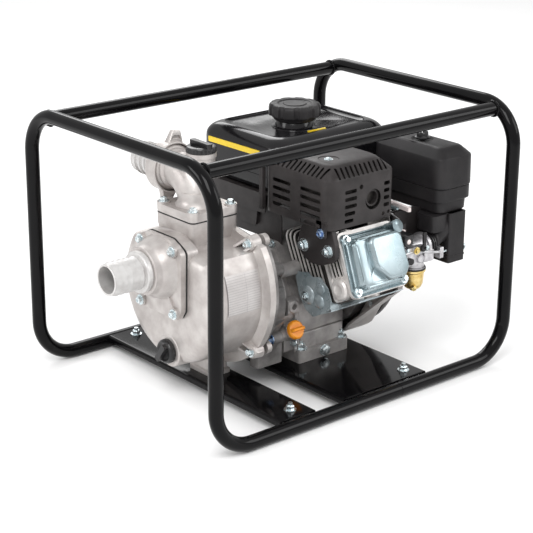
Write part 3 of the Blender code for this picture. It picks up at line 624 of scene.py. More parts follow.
def build_casing():
    rings = []
    for k in range(11):
        t = math.pi / 2 * k / 10
        rings.append(body_ring(-208 + 22 * (1 - math.cos(t)), 86 + 27 * math.sin(t), 27 + 14 * math.sin(t),
                               236 + 10 * math.sin(t)))
    rings += [body_ring(-150, 113.6, 43, 250), body_ring(-119, 114.4, 44, 252), body_ring(-117, 118, 45, 258),
              body_ring(-116, 130, 46, 263), body_ring(-105.4, 130, 46, 263)]
    casing = loft(rings)
    neck = loft([[(a, b, z) for a, b in rect(-191 + i, -105.4 - i * 0.3, -44 + i, 44 - i, 9)]
                 for z, i in ((196, 6), (232, 3), (246, 1), (250, 0), (265, 0))])
    pad = panel([(-28, 246), (28, 246), (57, 232), (55, 140), (45, 126), (-45, 126), (-55, 140), (-57, 232)], 12,
                -208.8, -190, "x")
    add(casing, neck, pad, spun([(-213, 23), (-211, 25), (-176, 27)], DRAIN, X, 56))
    foot = loft([[(a, b, z) for a, b in rect(-142 + i, -109 - i, -24 + i, 24 - i, 5)] for z,
                 i in ((10.95, -3), (17, -3), (19, 0), (50, 2))])
    add(casing, foot)
    for r, deg in FLANGE_BOLTS:
        c = Vector((0, *flange_place(r, deg)))
        add(casing, spun([(-122, 9.5), (-120.6, 10.8), (-105.4, 12)], c, X, 40))
        inward = -Vector((0, *on_circle(1, deg)))
        side = Vector((0, -inward.z, inward.y))
        for lean in (-7, 7):
            feet = [(-9, -118, 2.2), (16, -135, 1.6), (16, -105.6, 1.6), (-9, -105.6, 2.2)]
            add(casing, loft([[c + inward * s + X * x + side * (lean + w * k) for s, x, w in feet] for k in (-1,
                                                                                                             1)]))
    cut(casing, disc((0, 0, SUCTION_Z), X, PORT_R, -215, -190), disc((DISCHARGE_X, 0, 0), Z, PORT_R, 220, 272),
        disc(DRAIN, X, 12.6, -220, -172))
    hollow = loft([body_ring(-200, 94, 22, 222), body_ring(-190, 106, 34, 232), body_ring(-104, 106, 36, 236)])
    cut(casing, hollow)
    piece("casing", casing, "cast_pump", stands_for=["pump_casing"], bevel=1.1, steps=3, crease=38)
    bolts("casing_bolts", [(-122, *flange_place(r, deg)) for r, deg in FLANGE_BOLTS], -X, across_flats=10, head=5)
    strip = []
    for x in (-181, -122):
        strip.append([(x, b, c) for b, c in arc(0, PUMP_Z, 114.0, 157, 187, 20)] +
                     [(x, b, c) for b, c in arc(0, PUMP_Z, 114.35, 187, 157, 20)])
    piece("ruled_plate", loft(strip), "label", bevel=0)


def build_suction():
    port = Vector((0, 0, SUCTION_Z))
    shape = rounded([(-28, 246), (28, 246), (56, 232), (54, 140), (44, 126), (-44, 126), (-54, 140), (-56, 232)],
                    13, 8)
    gasket = cut(slab(shape, -210.8, -209.1, "x"), disc(port, X, PORT_R, -215, -205))
    piece("suction_gasket_sheet", gasket, "gasket", stands_for=["suction_gasket"], bevel=0)
    small = [(a * 0.985, 186 + (b - 186) * 0.985) for a, b in shape]
    flange = slab(small, -220, -211.1, "x")
    hub = spun([(-216, 50), (-221, 48), (-226, 45), (-233, 43), (-238, 38.5), (-240, 37), (-248.6, 35.6),
                (-249.7, 34.4)], port, X, 96)
    add(flange, hub)
    spots = [(38, 231), (-38, 231), (40, 136), (-40, 136)]
    for y, z in spots:
        add(flange, disc((0, y, z), X, 9.5, -223.5, -212, 32))
        web = panel([(y * 0.55, SUCTION_Z + (z - SUCTION_Z) * 0.45), (y - 4, z), (y + 4, z)], 1.5, -223, -216, "x",
                    3)
        add(flange, web)
    cut(flange, disc(port, X, 22, -255, -205, 64))
    piece("suction_port", flange, "cast_pump", stands_for=["suction_flange"], bevel=0.9, steps=3, crease=36)
    bolts("suction_bolts", [(-223.5, y, z) for y, z in spots], -X, across_flats=9.5, head=4.6)
    piece("suction_tail", hose_tail(port + X * -232.3, -X, 17.5, 79), "cast_barb", stands_for=["suction_hose_tail"],
          bevel=0.3, crease=25)


def hose_tail(start, axis, collar, length):
    """Barbed hose tail: stub, collar, then shallow steps that get smaller outward."""
    profile = [(0.3, 20), (0.3, 24), (collar, 24), (collar, 30.4), (collar + 1, 31), (collar + 8, 31),
               (collar + 9.6, 29.5),
               (collar + 10.5, 24.2)]
    if collar < 10:
        profile = [(0.3, 20), (0.3, 31), (8.6, 31), (9.2, 30), (9.3, 23.6)]
    first = profile[-1][0] + 2
    pitch = (length - first - 1.5) / 5
    for k in range(5):
        s = first + pitch * k
        profile += [(s, 25.2), (s + 1.4, 25.2), (s + pitch - 1.8, 22.3), (s + pitch - 0.4, 22.3)]
    profile += [(length - 0.8, 23.4), (length, 22.6), (length, 20.6), (length - 0.6, 20)]
    return lathe(profile, start, axis, 96)


def build_discharge():
    outline = rect(-191, -105, -44, 44, 9, 8)
    gasket = cut(slab(outline, 265.3, 267.0), disc((DISCHARGE_X, 0, 0), Z, PORT_R, 260, 270))
    piece("discharge_gasket_sheet", gasket, "gasket", stands_for=["discharge_gasket"], bevel=0)
    elbow = slab(outline, 267.3, 279.5)
    route = bent([(DISCHARGE_X, 0, 270), ELBOW_TOP, ELBOW_END - OUT * 6], 45, 14)
    add(elbow, tube(route, 27, None, 64))
    add(elbow, spun([(278, 34), (283, 29.5), (290, 27.4), (300, 27)], (DISCHARGE_X, 0, 0), Z, 64))
    filler = Vector((DISCHARGE_X + 13, 6, 0))
    add(elbow, lathe([(312, 0), (316, 20.5), (346, 20.5), (347, 22.4), (353.8, 22.4), (353.8, 0)], filler, Z, 64))
    add(elbow, spun([(44, 27), (47, 29.4), (52, 30), (54, 33), (57, 34.8), (62, 35)], ELBOW_TOP, OUT, 72))
    spots = [(-182.5, -35), (-182.5, 35), (-113.5, -35), (-113.5, 35)]
    add(elbow, *[disc((x, y, 0), Z, 9.6, 270, 281.5, 32) for x, y in spots])
    passage = tube(bent([(DISCHARGE_X, 0, 262), ELBOW_TOP, ELBOW_TOP + OUT * 72], 45, 10), 20, None, 48)
    cut(elbow, passage)
    cut(elbow, disc(filler, Z, 15, 306, 360, 40))
    piece("discharge_bend", elbow, "cast_pump", stands_for=["discharge_elbow"], bevel=0.9, steps=3, crease=36)
    bolts("discharge_bolts", [(x, y, 281.5) for x, y in spots], Z, across_flats=9.5, head=4.6)
    piece("discharge_tail", hose_tail(ELBOW_END, OUT, 9, 71), "cast_barb", stands_for=["discharge_hose_tail"],
          bevel=0.3, crease=25)
    nut = lathe([(-10, 35.6), (-10, 37), (-9, 38), (12.5, 38), (13.5, 37), (13.5, 27), (12.6, 26), (9.8, 26),
                 (9.8, 31.6),
                 (0, 35.6)], ELBOW_END, OUT, 96)
    reach = 54
    for s in (1, -1):
        rings = []
        for d, w, h in ((34, 14, 12), (reach - 3, 8.4, 9), (reach, 7, 7.4)):
            c = ELBOW_END + OUT * 0.5 + UP * (s * d)
            rings.append([c + OUT * a + OUT.cross(UP) * b for a, b in rect(-h / 2, h / 2, -w, w, 2.6, 4)])
        lug = loft(rings)
        cut(lug, spun([(-14, 36.8), (15, 36.8)], ELBOW_END, OUT, 64))
        for face in (-1, 1):
            pocket = []
            for d, w in ((42, 8.6), (reach - 7, 5)):
                c = ELBOW_END + OUT * (0.5 + 2.6 * face) + UP * (s * d)
                pocket.append([c + OUT * (a * face) + OUT.cross(UP) * b for a,
                               b in ((0, -w), (8, -w), (8, w), (0, w))])
            cut(lug, loft(pocket))
        add(nut, lug)
    piece("union_nut", nut, "cast_pump", "union_nut_body", ["discharge_union_nut"], bevel=0.7, steps=3, crease=36)
    build_filler_cap(filler)


def build_filler_cap(c):
    profile = [(354.1, 0), (354.1, 21.6), (355, 22.5), (360, 22.5), (362.4, 21), (363.2, 18.6), (363, 15),
               (361.6, 13.6), (361.6, 0)]
    cap = lathe(profile, c, Z, 72)
    outline = [(-5, -22), (5, -22), (4, 0), (5, 22), (-5, 22), (-4, 0)]
    grip = panel([(c.x + a, c.y + b) for a, b in outline], [3, 3, 8, 3, 3, 8], 361, 369, "z", 4)
    add(cap, grip)
    notches = [disc(c + Vector((23.6 * math.cos(t), 23.6 * math.sin(t), 0)), Z, 2.0, 353, 364, 12)
               for t in around(24)]
    cut(cap, *notches)
    add(cap, disc(c, Z, 14.3, 341, 355, 40))
    piece("filler_cap_moulding", cap, "gloss_plastic", "filler_cap_body", ["filler_cap"], bevel=0.5)


def build_drain():
    c = DRAIN
    plug = spun([(-213.4, 18), (-214, 18.5), (-219, 18.5), (-221.5, 17.4), (-223, 15.4), (-222.6, 12.5),
                 (-221.4, 11)], c, X, 64)
    grip = [(-5, -16), (5, -16), (4, 0), (5, 16), (-5, 16), (-4, 0)]
    bar = panel([(c.y + a, c.z + b) for a, b in grip], [3, 3, 6, 3, 3, 6], c.x - 230, c.x - 220, "x", 4)
    add(plug, turned(bar, 34, "X", c))
    cut(plug, *[disc(c + Vector((0, 19.6 * math.cos(t), 19.6 * math.sin(t))), X, 1.8, -225, -212, 12)
                for t in around(18)])
    add(plug, disc(c, X, 12.1, -214, -197, 40))
    piece("drain_plug_moulding", plug, "gloss_plastic", "drain_plug_body", ["drain_plug"], bevel=0.5)


def build_adapter():
    """Dark cast bell between pump and engine, with its ribs and bolt ears."""
    plate = loft([body_ring(-105.0, 127, 40, 258), body_ring(-98, 127, 40, 258), body_ring(-97, 126, 39, 257)])
    bell = spun([(-101, 94), (-92, 92), (-80, 84), (-62, 77), (-50, 76), (-40.4, 76)], CRANK, X, 96)
    add(plate, bell)
    half = 2.6
    for deg in (20, 70, 110, 160, 200, 340):
        t = math.radians(deg)
        out, side = Vector((0, math.cos(t), math.sin(t))), Vector((0, -math.sin(t), math.cos(t)))
        rib = [[CRANK + X * x + out * a + side * w for a, w in ((r, -half), (r, half), (70, half), (70, -half))]
               for x, r in ((-98, 108), (-86, 90), (-42, 79))]
        add(plate, loft(rib))
    for s in (-1, 1):
        add(plate, block(-90, -40.4, min(s * 50, s * 70), max(s * 50, s * 70), 24, 62, 4))
        for y, z in ((s * 62, 62), (s * 62, 171)):
            add(plate, spun([(-58, 8.5), (-56, 10), (-40.4, 10.5)], (0, y, z), X, 28))
    cut(plate, spun([(-95.5, 84), (-88, 84), (-64, 68), (-39, 68)], CRANK, X, 64))
    cut(plate, disc(CRANK, X, 15, -110, -90, 40))
    for deg in (215, 250, 290, 325):
        hole = turned(slab(rect(-84, -58, -13, 13, 8), 60, 100, "z"), deg - 90, "X", (0, 0, 0))
        cut(plate, moved(hole, Matrix.Translation(CRANK)))
    piece("adapter_bell", plate, "dark_cast_and_head_shade", stands_for=["pump_adapter"], bevel=1.0, steps=2, crease=38)
    ears = []
    for r, deg in FLANGE_BOLTS:
        c = Vector((0, *flange_place(r, deg)))
        ears.append(spun([(-96.8, 10), (-88, 9.6), (-86.6, 8.2)], c, X, 32))
    piece("adapter_ears", together(*ears), "cast_pump", bevel=0.5)
    places = [(-58, s * 62, z) for s in (-1, 1) for z in (62, 171)]
    bolts("adapter_bolts", places, -X, look="bolt_blue", across_flats=11, head=6)


build_frame()
build_casing()
build_suction()
build_discharge()
build_drain()
build_adapter()


# ---------------------------------------------------------------- engine castings
def fin(d, thick, x0, x1, v0, v1, r=12.0):
    return slab(rect(x0, x1, v0, v1, r), d, d + thick, "bore")


def fin_painted_shade(d, thick, x0, x1, v0, v1, r):
    """Middle of a fin, half a millimetre inside its bright rim, coloured dark as painted shade between the fins."""
    return fin(d, thick, x0 + 0.5, x1 - 0.5, v0 + 0.5, v1 - 0.5, r - 0.5)


def fin_edge(d, thick, x0, x1, v0, v1, r=12.0, deep=1.6):
    """Rim of a fin in the fins' own bright cast colour, round the painted shade of its middle."""
    outer, inner = rect(x0, x1, v0, v1, r), rect(x0 + deep, x1 - deep, v0 + deep, v1 - deep, r - deep / 2)
    return loft([[cyl(a, s, b) for a, b in outline] for outline, s in
                 ((inner, d - 0.1), (outer, d - 0.1), (outer, d + thick + 0.1),
                  (inner, d + thick + 0.1))], closed=True)


CASE = [(-60, 28), (78, 28), (78, 150), (40, 188), (-13, 188), (-60, 112)]


def case_outline(grow=0.0):
    middle = Vector((9, 108))
    out = []
    for p in CASE:
        p = Vector(p)
        out.append(tuple(p + (p - middle).normalized() * grow))
    return rounded(out, [5, 8, 16, 16, 16, 12], 8)


def build_crankcase():
    case = slab(case_outline(), -3, 92, "x")
    add(case, slab(case_outline(3.2), -3.1, 3.5, "x"))
    add(case, block(-7, 95, -71, 126, 10.95, 31, 5))
    add(case, block(1, 88, -63.4, -50, 28, 57, 3, "x"))
    add(case, spun([(20, 47), (60, 45), (70, 39), (131, 39)], BARREL, BORE, 80))
    cut(case, panel([(-52, 38), (70, 38), (70, 146), (36, 180), (-10, 180), (-52, 108)], 8, -10, 84, "x"))
    cut(case, disc(BARREL, BORE, 34.4, 20, 140, 64))
    cut(case, disc(CRANK, X, BEARING_R, 80, 97, 48), disc(DRAIN_BOLT, Y, 6.4, -75, -50, 24))
    piece("crankcase_casting", case, "cast_engine", stands_for=["crankcase"], bevel=0.9, steps=2, crease=38)
    tops = (78, 76, 72, 66, 59, 54, 52, 51)
    places = [(66 + 8.2 * k, 2.2, -3, 91.5, -52, tops[k], 16) for k in range(8)]
    piece("barrel_fin_edges", together(*[fin_edge(*p) for p in places]), "cast_fin", bevel=0)
    # the fin middles and the whole fin under the head are dark as painted shade between the fins; the rims keep the
    # cast colour
    fins = together(*[fin_painted_shade(*p) for p in places], fin(131, 5, -4, 91.5, -49, 49, 9))
    piece("barrel_fins_painted_shade", cut(fins, disc(BARREL, BORE, 36, 20, 140, 64)), "soot_and_fin_shade", bevel=0)
    bolts("mount_bolts", [(4, 112, 31), (84, 112, 31), (4, -61, 31), (86, -61, 31)], Z, across_flats=13, head=8,
          stud=4)
    plate = panel([(8, 148), (70, 148), (66, 172), (12, 172)], 5, 77.4, 79, "y")
    piece("case_cover_plate", plate, "steel", bevel=0.3)


def build_side_cover():
    cover = slab(case_outline(-2), -28, -3.4, "x")
    add(cover, slab(case_outline(3.2), -9.5, -3.4, "x"))
    add(cover, spun([(-40, 57), (-38.6, 58.3), (-26, 61)], CRANK, X, 80))
    neck_axis, neck = Vector((0, -0.906, 0.423)), Vector((-17.5, -50, 60))
    add(cover, spun([(-14, 15), (12, 14), (20.6, 14), (21.5, 13)], neck, neck_axis, 48))
    for y, z in ((-62, 62), (62, 62), (-62, 171), (62, 171)):
        add(cover, spun([(-40, 9.5), (-30, 10.5), (-4, 11)], (0, y * 0.93, z if z < 100 else z - 6), X, 28))
    add(cover, panel([(-70, 96), (-56, 90), (-56, 122), (-70, 118)], 4, -30, -8, "x"))
    add(cover, spun([(-72, 9), (-70, 10.5), (-50, 11)], (-19, 0, 108), Y, 32))
    cut(cover, panel([(-51, 43), (66, 43), (66, 142), (34, 172), (-10, 172), (-51, 104)], 6, -25, -2, "x"))
    cut(cover, disc(CRANK, X, BEARING_R, -33, -10, 48), disc(CRANK, X, 13, -45, -32.9, 40),
        disc(neck, neck_axis, 8.6, -20, 30, 32))
    cut(cover, disc((-19, 0, 108), Y, 5, -80, -64, 20))
    piece("side_cover", cover, "cast_engine", stands_for=["crankcase_side_cover"], bevel=0.9, steps=2, crease=38)
    spots = [(-61, 44), (-61, 78), (79, 42), (79, 92), (79, 140), (54, 175), (-8, 190), (-45, 160)]
    bolts("side_cover_bolts", [(-9.5, y, z) for y, z in spots], -X, across_flats=8, head=4.4)
    build_dipstick(neck, neck_axis)


def build_dipstick(c, axis):
    stick = spun([(21.9, 13.6), (22.6, 14.5), (27.4, 14.5), (29, 13.6), (30, 12)], c, axis, 56)
    upright = axis.cross(X)
    grip = []
    for s, half, thick in ((28, 12.6, 3.2), (33, 12.4, 2.8), (36.2, 10.6, 2.2), (37, 9.4, 1.4)):
        grip.append([c + axis * s + X * a + upright * b for a, b in rect(-half, half, -thick, thick, 1.3, 3)])
    add(stick, loft(grip), disc(c, axis, 8.2, 2, 23, 32), disc(c, axis, 2.2, -30, 5, 16))
    piece("oil_filler_cap", stick, "orange", "dipstick_body", ["oil_dipstick"], bevel=0.5)


def build_drain_bolt():
    c = Vector(DRAIN_BOLT)
    bolt = spun([(-77.8, 6), (-76.9, 8.2), (-72.4, 8.2)], c, Y, 6)
    add(bolt, disc(c, Y, 6.0, -72.6, -55, 24), disc(c, Y, 9.2, -73, -71.4, 32))
    piece("drain_bolt", bolt, "bolt_zinc", "drain_bolt_body", ["oil_drain_bolt"], bevel=0.3)


def build_head():
    # core that shows between the head fins; its dark colour is painted shade, darker than the head casting round it
    core = slab(rect(10, 84, -38, 40, 12), 142, 178, "bore")
    cut(core, disc(cyl(PLUG_X, PLUG_D, 42.0), ACROSS, 8.3, -20, 20, 28))
    piece("head_core_painted_shade", core, "dark_cast_and_head_shade", bevel=0.6)
    head = slab(rect(14, 80, -32, 34, 8), 137, 183, "bore")
    add(head, fin(136.4, 5.4, -3, 91.8, -49, 49, 9), fin(176.5, 6.5, -5, 105, -50, 50, 10))
    places = [(147.5 + 7.6 * k, 2.2, -3, 91.2, -20, 48, 14) for k in range(4)]
    # the head fin middles are dark as painted shade between the fins
    piece("head_fins_painted_shade", together(*[fin_painted_shade(*p) for p in places]), "soot_and_fin_shade", bevel=0)
    piece("head_fin_edges", together(*[fin_edge(*p) for p in places]), "cast_fin", bevel=0)
    add(head, slab(rect(-1, 40, -44, -8, 10), 140, 178, "bore"))
    add(head, slab(rect(90, 104.6, -30, 40, 6), 141, 177, "bore"))
    port = slab(rect(143, 172, 14, 48, 8), -10, 14, "x")
    port_place = Matrix((X, BORE, ACROSS)).transposed().to_4x4()
    moved(port, Matrix.Translation(CRANK) @ port_place)
    add(head, port)
    add(head, spun([(0, 13), (14, 12)], cyl(PLUG_X, PLUG_D, 34), ACROSS, 32))
    add(head, spun([(-14, 12), (18, 12)], cyl(50, 160, -36), -ACROSS, 32))
    cut(head, disc(BARREL, BORE, 33, 130, 143, 48))
    cut(head, disc(cyl(110, 160, 12), X, 12, -30, 3, 32), disc(cyl(0, PLUG_D, 30), X, 11, -14, 20, 32),
        disc(cyl(PLUG_X, PLUG_D, 42.0), ACROSS, 8.3, 0, 20, 28))
    piece("head_casting", head, "cast_fin", stands_for=["cylinder_head"], bevel=0.7, steps=2, crease=38)
    nuts = []
    for x in (12, 84):
        nuts += [hex_bolt(cyl(x, 141.8, v), BORE, 10, 5, turn=0.1 * v) for v in (-40, 42)]
    piece("head_bolts", together(*nuts), "bolt_zinc", bevel=0.25)


def cover_outline(inset, r=10):
    hx, hv = 55 - inset, 50 - inset
    high = hv - 4
    pts = [(-hx + 9, high), (hx - 7, high), (hx, high - 8), (hx, -hv + 8), (hx - 8, -hv), (-hx + 4, -hv),
           (-hx - 4 + inset * 0.3, -hv + 8),
           (-hx + 3, high - 8)]
    return [(CYL_X + a, b) for a, b in rounded(pts, r, 5)]


def bore_ring(outline, d):
    return [cyl(a, d, b) for a, b in outline]


def build_valve_cover():
    spots = [(-43, 37.5), (45, 37.5), (46, -40), (-47, -40)]
    flange = slab(cover_outline(1.5), HEAD_FACE, 186.6, "bore")
    dome = loft([bore_ring(cover_outline(i, 9), d) for i, d in
                 ((5.5, 184), (6, 187.8), (7.2, 189), (8.6, 190), (9.2, 195), (10, 199), (11.6, 201.4),
                  (14.5, 202.6), (18, 203))])
    add(flange, dome)
    shape = [(-15, 33), (38, 33), (43.5, 27), (43.5, -24), (33, -36), (2, -36), (-21, -12), (-21, 26)]
    middle = Vector((12, 1))

    def pad(scale, d, inset=0.0):
        pts = [middle + (Vector(p) - middle) * scale for p in shape]
        return bore_ring([(CYL_X + a, b) for a, b in rounded([tuple(p) for p in pts], 9, 6)], d)

    add(flange, loft([pad(1.02, 196), pad(1.0, 205), pad(0.985, 208.6), pad(0.955, 211), pad(0.90, 212.6),
                      pad(0.84, 213)]))
    add(flange, *[spun([(HEAD_FACE, 9), (187.4, 8.4)], cyl(CYL_X + a, 0, b), BORE, 32) for a, b in spots])
    for a, b in spots:
        inward = Vector((-a, -b)).normalized() * 6
        cut(flange, spun([(187.4, 8.2), (206, 10)], cyl(CYL_X + a - inward.x * 0.2, 0, b - inward.y * 0.2), BORE,
                         32))
    cut(flange, loft([bore_ring(cover_outline(11), 180), bore_ring(cover_outline(12.5), 198),
                      bore_ring(cover_outline(18), 200.5)]))
    piece("valve_cover_pressing", flange, "zinc", stands_for=["valve_cover"], bevel=1.3, steps=3, crease=30)
    places = [cyl(CYL_X + a, 187.4, b) for a, b in spots]
    bolts("valve_cover_bolts", places, BORE, across_flats=8.5, head=5)


def build_lower_shroud():
    """Pressed sheet under the fins: a side with round bosses and a notch, a floor and a front lip."""
    def side(p, x):
        return cyl(x, p[0], p[1])

    outline = rounded([(74, 14), (68, -20), (73, -46), (86, -60), (104, -59), (128, -56), (137, -43), (137, -24),
                       (127, -5),
                       (110, -2), (102, 7), (88, 10)], [4, 12, 10, 8, 3, 8, 6, 6, 6, 5, 4, 4], 6)
    sheet = loft([[side(p, -9.4) for p in outline], [side(p, -8) for p in outline]])
    floor = slab([(-9, 0), (91, 0), (91, 1.4), (-9, 1.4)], 84, 130, "bore")
    moved(floor, Matrix.Translation(ACROSS * -59))
    lip = loft([[cyl(a, d, b) for a, b in rounded([(-9, -59), (60, -59), (104, -53), (104, -48), (60, -51),
                                                   (10, -52), (-9, -40)],
                                                  [5, 8, 3, 3, 8, 6, 3])] for d in (129, 130.4)])
    run = loft([[cyl(x, d, b) for d, b in ((128, -59), (176, -56), (176, -54.6), (128, -57.6))] for x in (8, 100)])
    add(sheet, floor, lip, run)
    for d, v, r, h in ((88, -26, 15, 5), (110, -40, 11, 4), (121, -22, 9, 3)):
        c = side((d, v), -9.0)
        add(sheet, spun([(0, r), (1.0, r * 0.95), (2.0, r * 0.88), (h * 0.85, r * 0.62), (h, r * 0.45)], c, -X, 48))
    piece("shroud_pressing", sheet, "zinc_sheet", stands_for=["lower_shroud"], bevel=0.8, steps=3, crease=30)
    bolts("shroud_bolts", [side((88, -26), -14)], -X, across_flats=8, head=4)
    boss = spun([(-4, 17), (4, 16.4), (7, 14), (7.6, 9), (6, 6)], cyl(0, 156, -30), -X, 56)
    piece("head_boss", boss, "cast_fin", bevel=0.6)


# ---------------------------------------------------------------- muffler
def build_muffler():
    can = block(-16, 92, -143, -21, 258, 326, 20)
    piece("muffler_body", can, "soot_and_fin_shade", stands_for=["muffler_can"], bevel=6, steps=5)
    seam = cut(block(-17.4, 93.4, -144.4, -19.6, 292, 296, 21), block(-15, 91, -142, -22, 280, 310, 20))
    piece("muffler_seam", seam, "soot_and_fin_shade", bevel=0.6)
    piece("muffler_outlet", ring((60, 0, 284), Y, 10, 13, -151, -138, 40), "heat_black", bevel=0.4)

    def wall(z, inset, r):
        return [(a, b, z) for a, b in rect(-28 + inset, 104 - inset, -155 + inset, -9 - inset, r, 8)]
    guard = loft([wall(GUARD_LOW, 0, 17), wall(GUARD_SHOULDER, 0, 17), wall(GUARD_SHOULDER + 3, 1, 17),
                  wall(GUARD_TOP - 2, 15.5, 20),
                  wall(GUARD_TOP, 18.5, 21)])
    t = 1.6
    inside = loft([wall(GUARD_LOW - 9, t, 15), wall(GUARD_SHOULDER, t, 15), wall(GUARD_SHOULDER + 2.4, t + 1, 15),
                   wall(GUARD_TOP - 3.4, 16.8, 19), wall(GUARD_TOP - t, 19.4, 20)])
    cut(guard, inside)
    cut(guard, spun([(GUARD_TOP - 1.1, 15), (GUARD_TOP + 3, 19)], (*GUARD_SCREW, 0), Z, 56))
    slots = []
    for y0, y1, rows in ((-135, -91, 5), (-69, -29, 4)):
        slots += [block(-34, -20, y0, y1, 298.6 - 12.2 * k, 304.4 - 12.2 * k, 2.8, "x") for k in range(rows)]
    for z, x1 in ((302.5, 25), (291.5, 26), (280.5, 26), (269.5, 23), (258.5, 20)):
        slots.append(block(2, x1, -162, -145, z - 2.9, z + 2.9, 2.8, "y"))
    slots += [block(80, 92, -162, -145, z - 3, z + 3, 2.8, "y") for z in (303, 292, 281, 270)]
    slots += [disc((x, 0, z), Y, r, -162, -145, 16) for x, z, r in ((34, 306, 3.6), (80, 257, 2.8), (91, 258, 2.8))]
    slots.append(disc((58.5, 0, 283), Y, 15.5, -162, -145, 48))
    cut(guard, *slots)
    louvres = []
    for x in (-6 + 9.2 * k for k in range(11)):
        louvres.append(turned(block(x - 1.9, x + 1.9, -158, -136, 323.4, 337.2, 1.6, "y"), 12, "Y", (x, 0, 331)))
    for y in (-134 + 9.4 * k for k in range(13)):
        louvres.append(turned(block(-31, -9, y - 2.0, y + 2.0, 323.4, 337.2, 1.6, "x"), 12, "X", (0, y, 331)))
    cut(guard, *louvres)
    piece("guard_pressing", guard, "heat_black", stands_for=["muffler_guard"], bevel=0.45, steps=2, crease=36)
    ledge = panel([(-11, 250), (-3, 250), (-3, 318), (-11, 318)], 3, -34, -27.6, "x")
    piece("guard_flange", moved(ledge, Matrix.Translation((0, -1.5, 0))), "heat_black", bevel=0.5)
    piece("guard_screw", screw((*GUARD_SCREW, GUARD_TOP - 1.1), Z, 4.6, 3), "bolt_zinc", bevel=0.2)
    bolts("guard_bolts", [(-28.4, -137.6, 243)], -X, look="bolt_blue", across_flats=9, head=4)
    tab = panel([(-148, 236), (-126, 236), (-126, 262), (-148, 262)], 4, -28, -26, "x")
    piece("guard_tab", tab, "heat_black", bevel=0.4)
    plate = panel([(-160, 208), (-152, 199), (-128, 189), (-104, 188), (-84, 198), (-76, 214), (-84, 240),
                   (-92, 254.6), (-148, 254.6), (-159, 226)], [8, 8, 12, 10, 12, 10, 8, 2, 2,
                                                               8], -19, -10.4, "x", 6)
    cut(plate, disc(cyl(0, PLUG_D, 30), X, 10, -14, 30, 32))
    piece("exhaust_plate", plate, "heat_black", stands_for=["exhaust_flange_pipe"], bevel=1.2, steps=3)
    bolts("exhaust_nuts", [(-19, -91.5, 212.5), (-19, -144.5, 215.5)], -X, across_flats=12, head=7, stud=2)


# ---------------------------------------------------------------- fuel tank
def build_tank():
    def wall(z, inset, r):
        return [(a, b, z) for a, b in rect(TANK["x0"] + inset, TANK["x1"] - inset, TANK["y0"] + inset,
                                           TANK["y1"] - inset, r, 10)]
    rings = [wall(262, 10, 20), wall(263.5, 5, 22), wall(267, 2.2, 24), wall(274, 1.2, 26), wall(288, 1.0, 26)]
    for k in range(9):
        t = math.pi / 2 * k / 8
        rings.append(wall(323 + 22 * math.sin(t) - 1.2 * (k == 0), 1.0 + 20 * (1 - math.cos(t)), 26))
    tank = loft(rings)
    add(tank, slab(rect(TANK["x0"], TANK["x1"], TANK["y0"], TANK["y1"], 26, 10), 284, 287))
    dish = loft([[(a, b, z) for a, b in rect(22 + i, 216 - i, 14 + i, 166 - i, 34, 12)] for z,
                 i in ((339.6, 7), (341, 3), (343, 0.6), (350, 0))])
    cut(tank, dish)
    add(tank, spun([(334, 40), (340.5, 36), (342, 31), (350, 29), (351, 28.4)], NECK, Z, 72))
    cut(tank, loft([wall(266, 6, 20), wall(320, 5, 22), wall(333, 16, 22), wall(335.5, 22, 22)]))
    cut(tank, disc(NECK, Z, 22, 330, 360, 56))
    piece("tank_shell", tank, "tank_paint", stands_for=["fuel_tank"], bevel=0.8, steps=3, crease=36)
    stripe = panel([(36, 316.6), (160, 315.4), (160, 323.8), (36, 325)], 1, -0.3, 1.6, "x")
    piece("tank_stripe", stripe, "yellow", bevel=0)
    bar = slab(rect(NECK.x - 8, NECK.x + 28, NECK.y - 44, NECK.y - 39, 1.5), 339.4, 340.4)
    piece("neck_stripe", bar, "yellow", bevel=0)
    skirt = panel([(14, 232), (150, 228), (150, 262), (14, 262)], 4, -6, -4.4, "x")
    add(skirt, block(-6, 60, 14, 150, 259.4, 261.4, 3))
    piece("tank_bracket", skirt, "heat_black", bevel=0.5)
    shroud = panel([(-16, 186), (40, 190), (128, 190), (128, 261), (14, 261), (-8, 244), (-16, 230)], 6, 2, 3.4,
                   "x")
    add(shroud, panel([(2, 16), (93, 16), (93, 128), (2, 128)], 4, 256.6, 258),
        panel([(-70, 186), (-10, 174), (128, 150), (128, 258), (-70, 244)], 6, 91.8, 93.2, "x"),
        panel([(40, 206), (100, 206), (104, 236), (36, 236)], 6, -2.4, 2.4, "x"))
    piece("upper_shroud", shroud, "heat_black", bevel=0.5)
    outline = []
    for k in range(10):
        a = 36.0 * k
        outline += arc(NECK.x, NECK.y, 41.0, a - 10.5, a + 10.5, 6) + arc(NECK.x, NECK.y, 38.0, a + 14.0, a + 22.0,
                                                                          2)
    cap_rings = []
    for z, s in ((358, 0.97), (359, 1.0), (370, 1.0), (373.5, 0.985), (376, 0.95), (377, 0.90)):
        cap_rings.append([(NECK.x + (a - NECK.x) * s, NECK.y + (b - NECK.y) * s, z) for a, b in outline])
    cap = loft(cap_rings)
    cut(cap, spun([(375.2, 25), (378, 28.5)], NECK, Z, 64))
    add(cap, spun([(375, 19), (376.6, 17.4)], NECK, Z, 64))
    add(cap, spun([(351.4, 32.5), (353, 33.6), (358.4, 33.6)], NECK, Z, 72), disc(NECK, Z, 21.5, 336, 352, 56))
    piece("tank_cap", cap, "black_plastic", "fuel_cap_body", ["fuel_cap"], bevel=0.7, steps=2, crease=36)


# ---------------------------------------------------------------- fan housing and recoil starter
def round_crank(x, r, degs):
    """Places on a circle round the crankshaft."""
    return [(x, y, CRANK_Z + z) for y, z in (on_circle(r, deg) for deg in degs)]


def housing_outline(inset):
    r = 100 - inset
    round_part = arc(0, CRANK_Z, r, 60, -130, 36)
    return round_part + [(-100 + inset, 100), (-100 + inset, 205 - inset / 2), (-94 + inset, 228 - inset),
                         (-82 + inset, 240 - inset), (-20, 240 - inset), (4, 235 - inset), (24 - inset / 3,
                                                                                            226 - inset)]


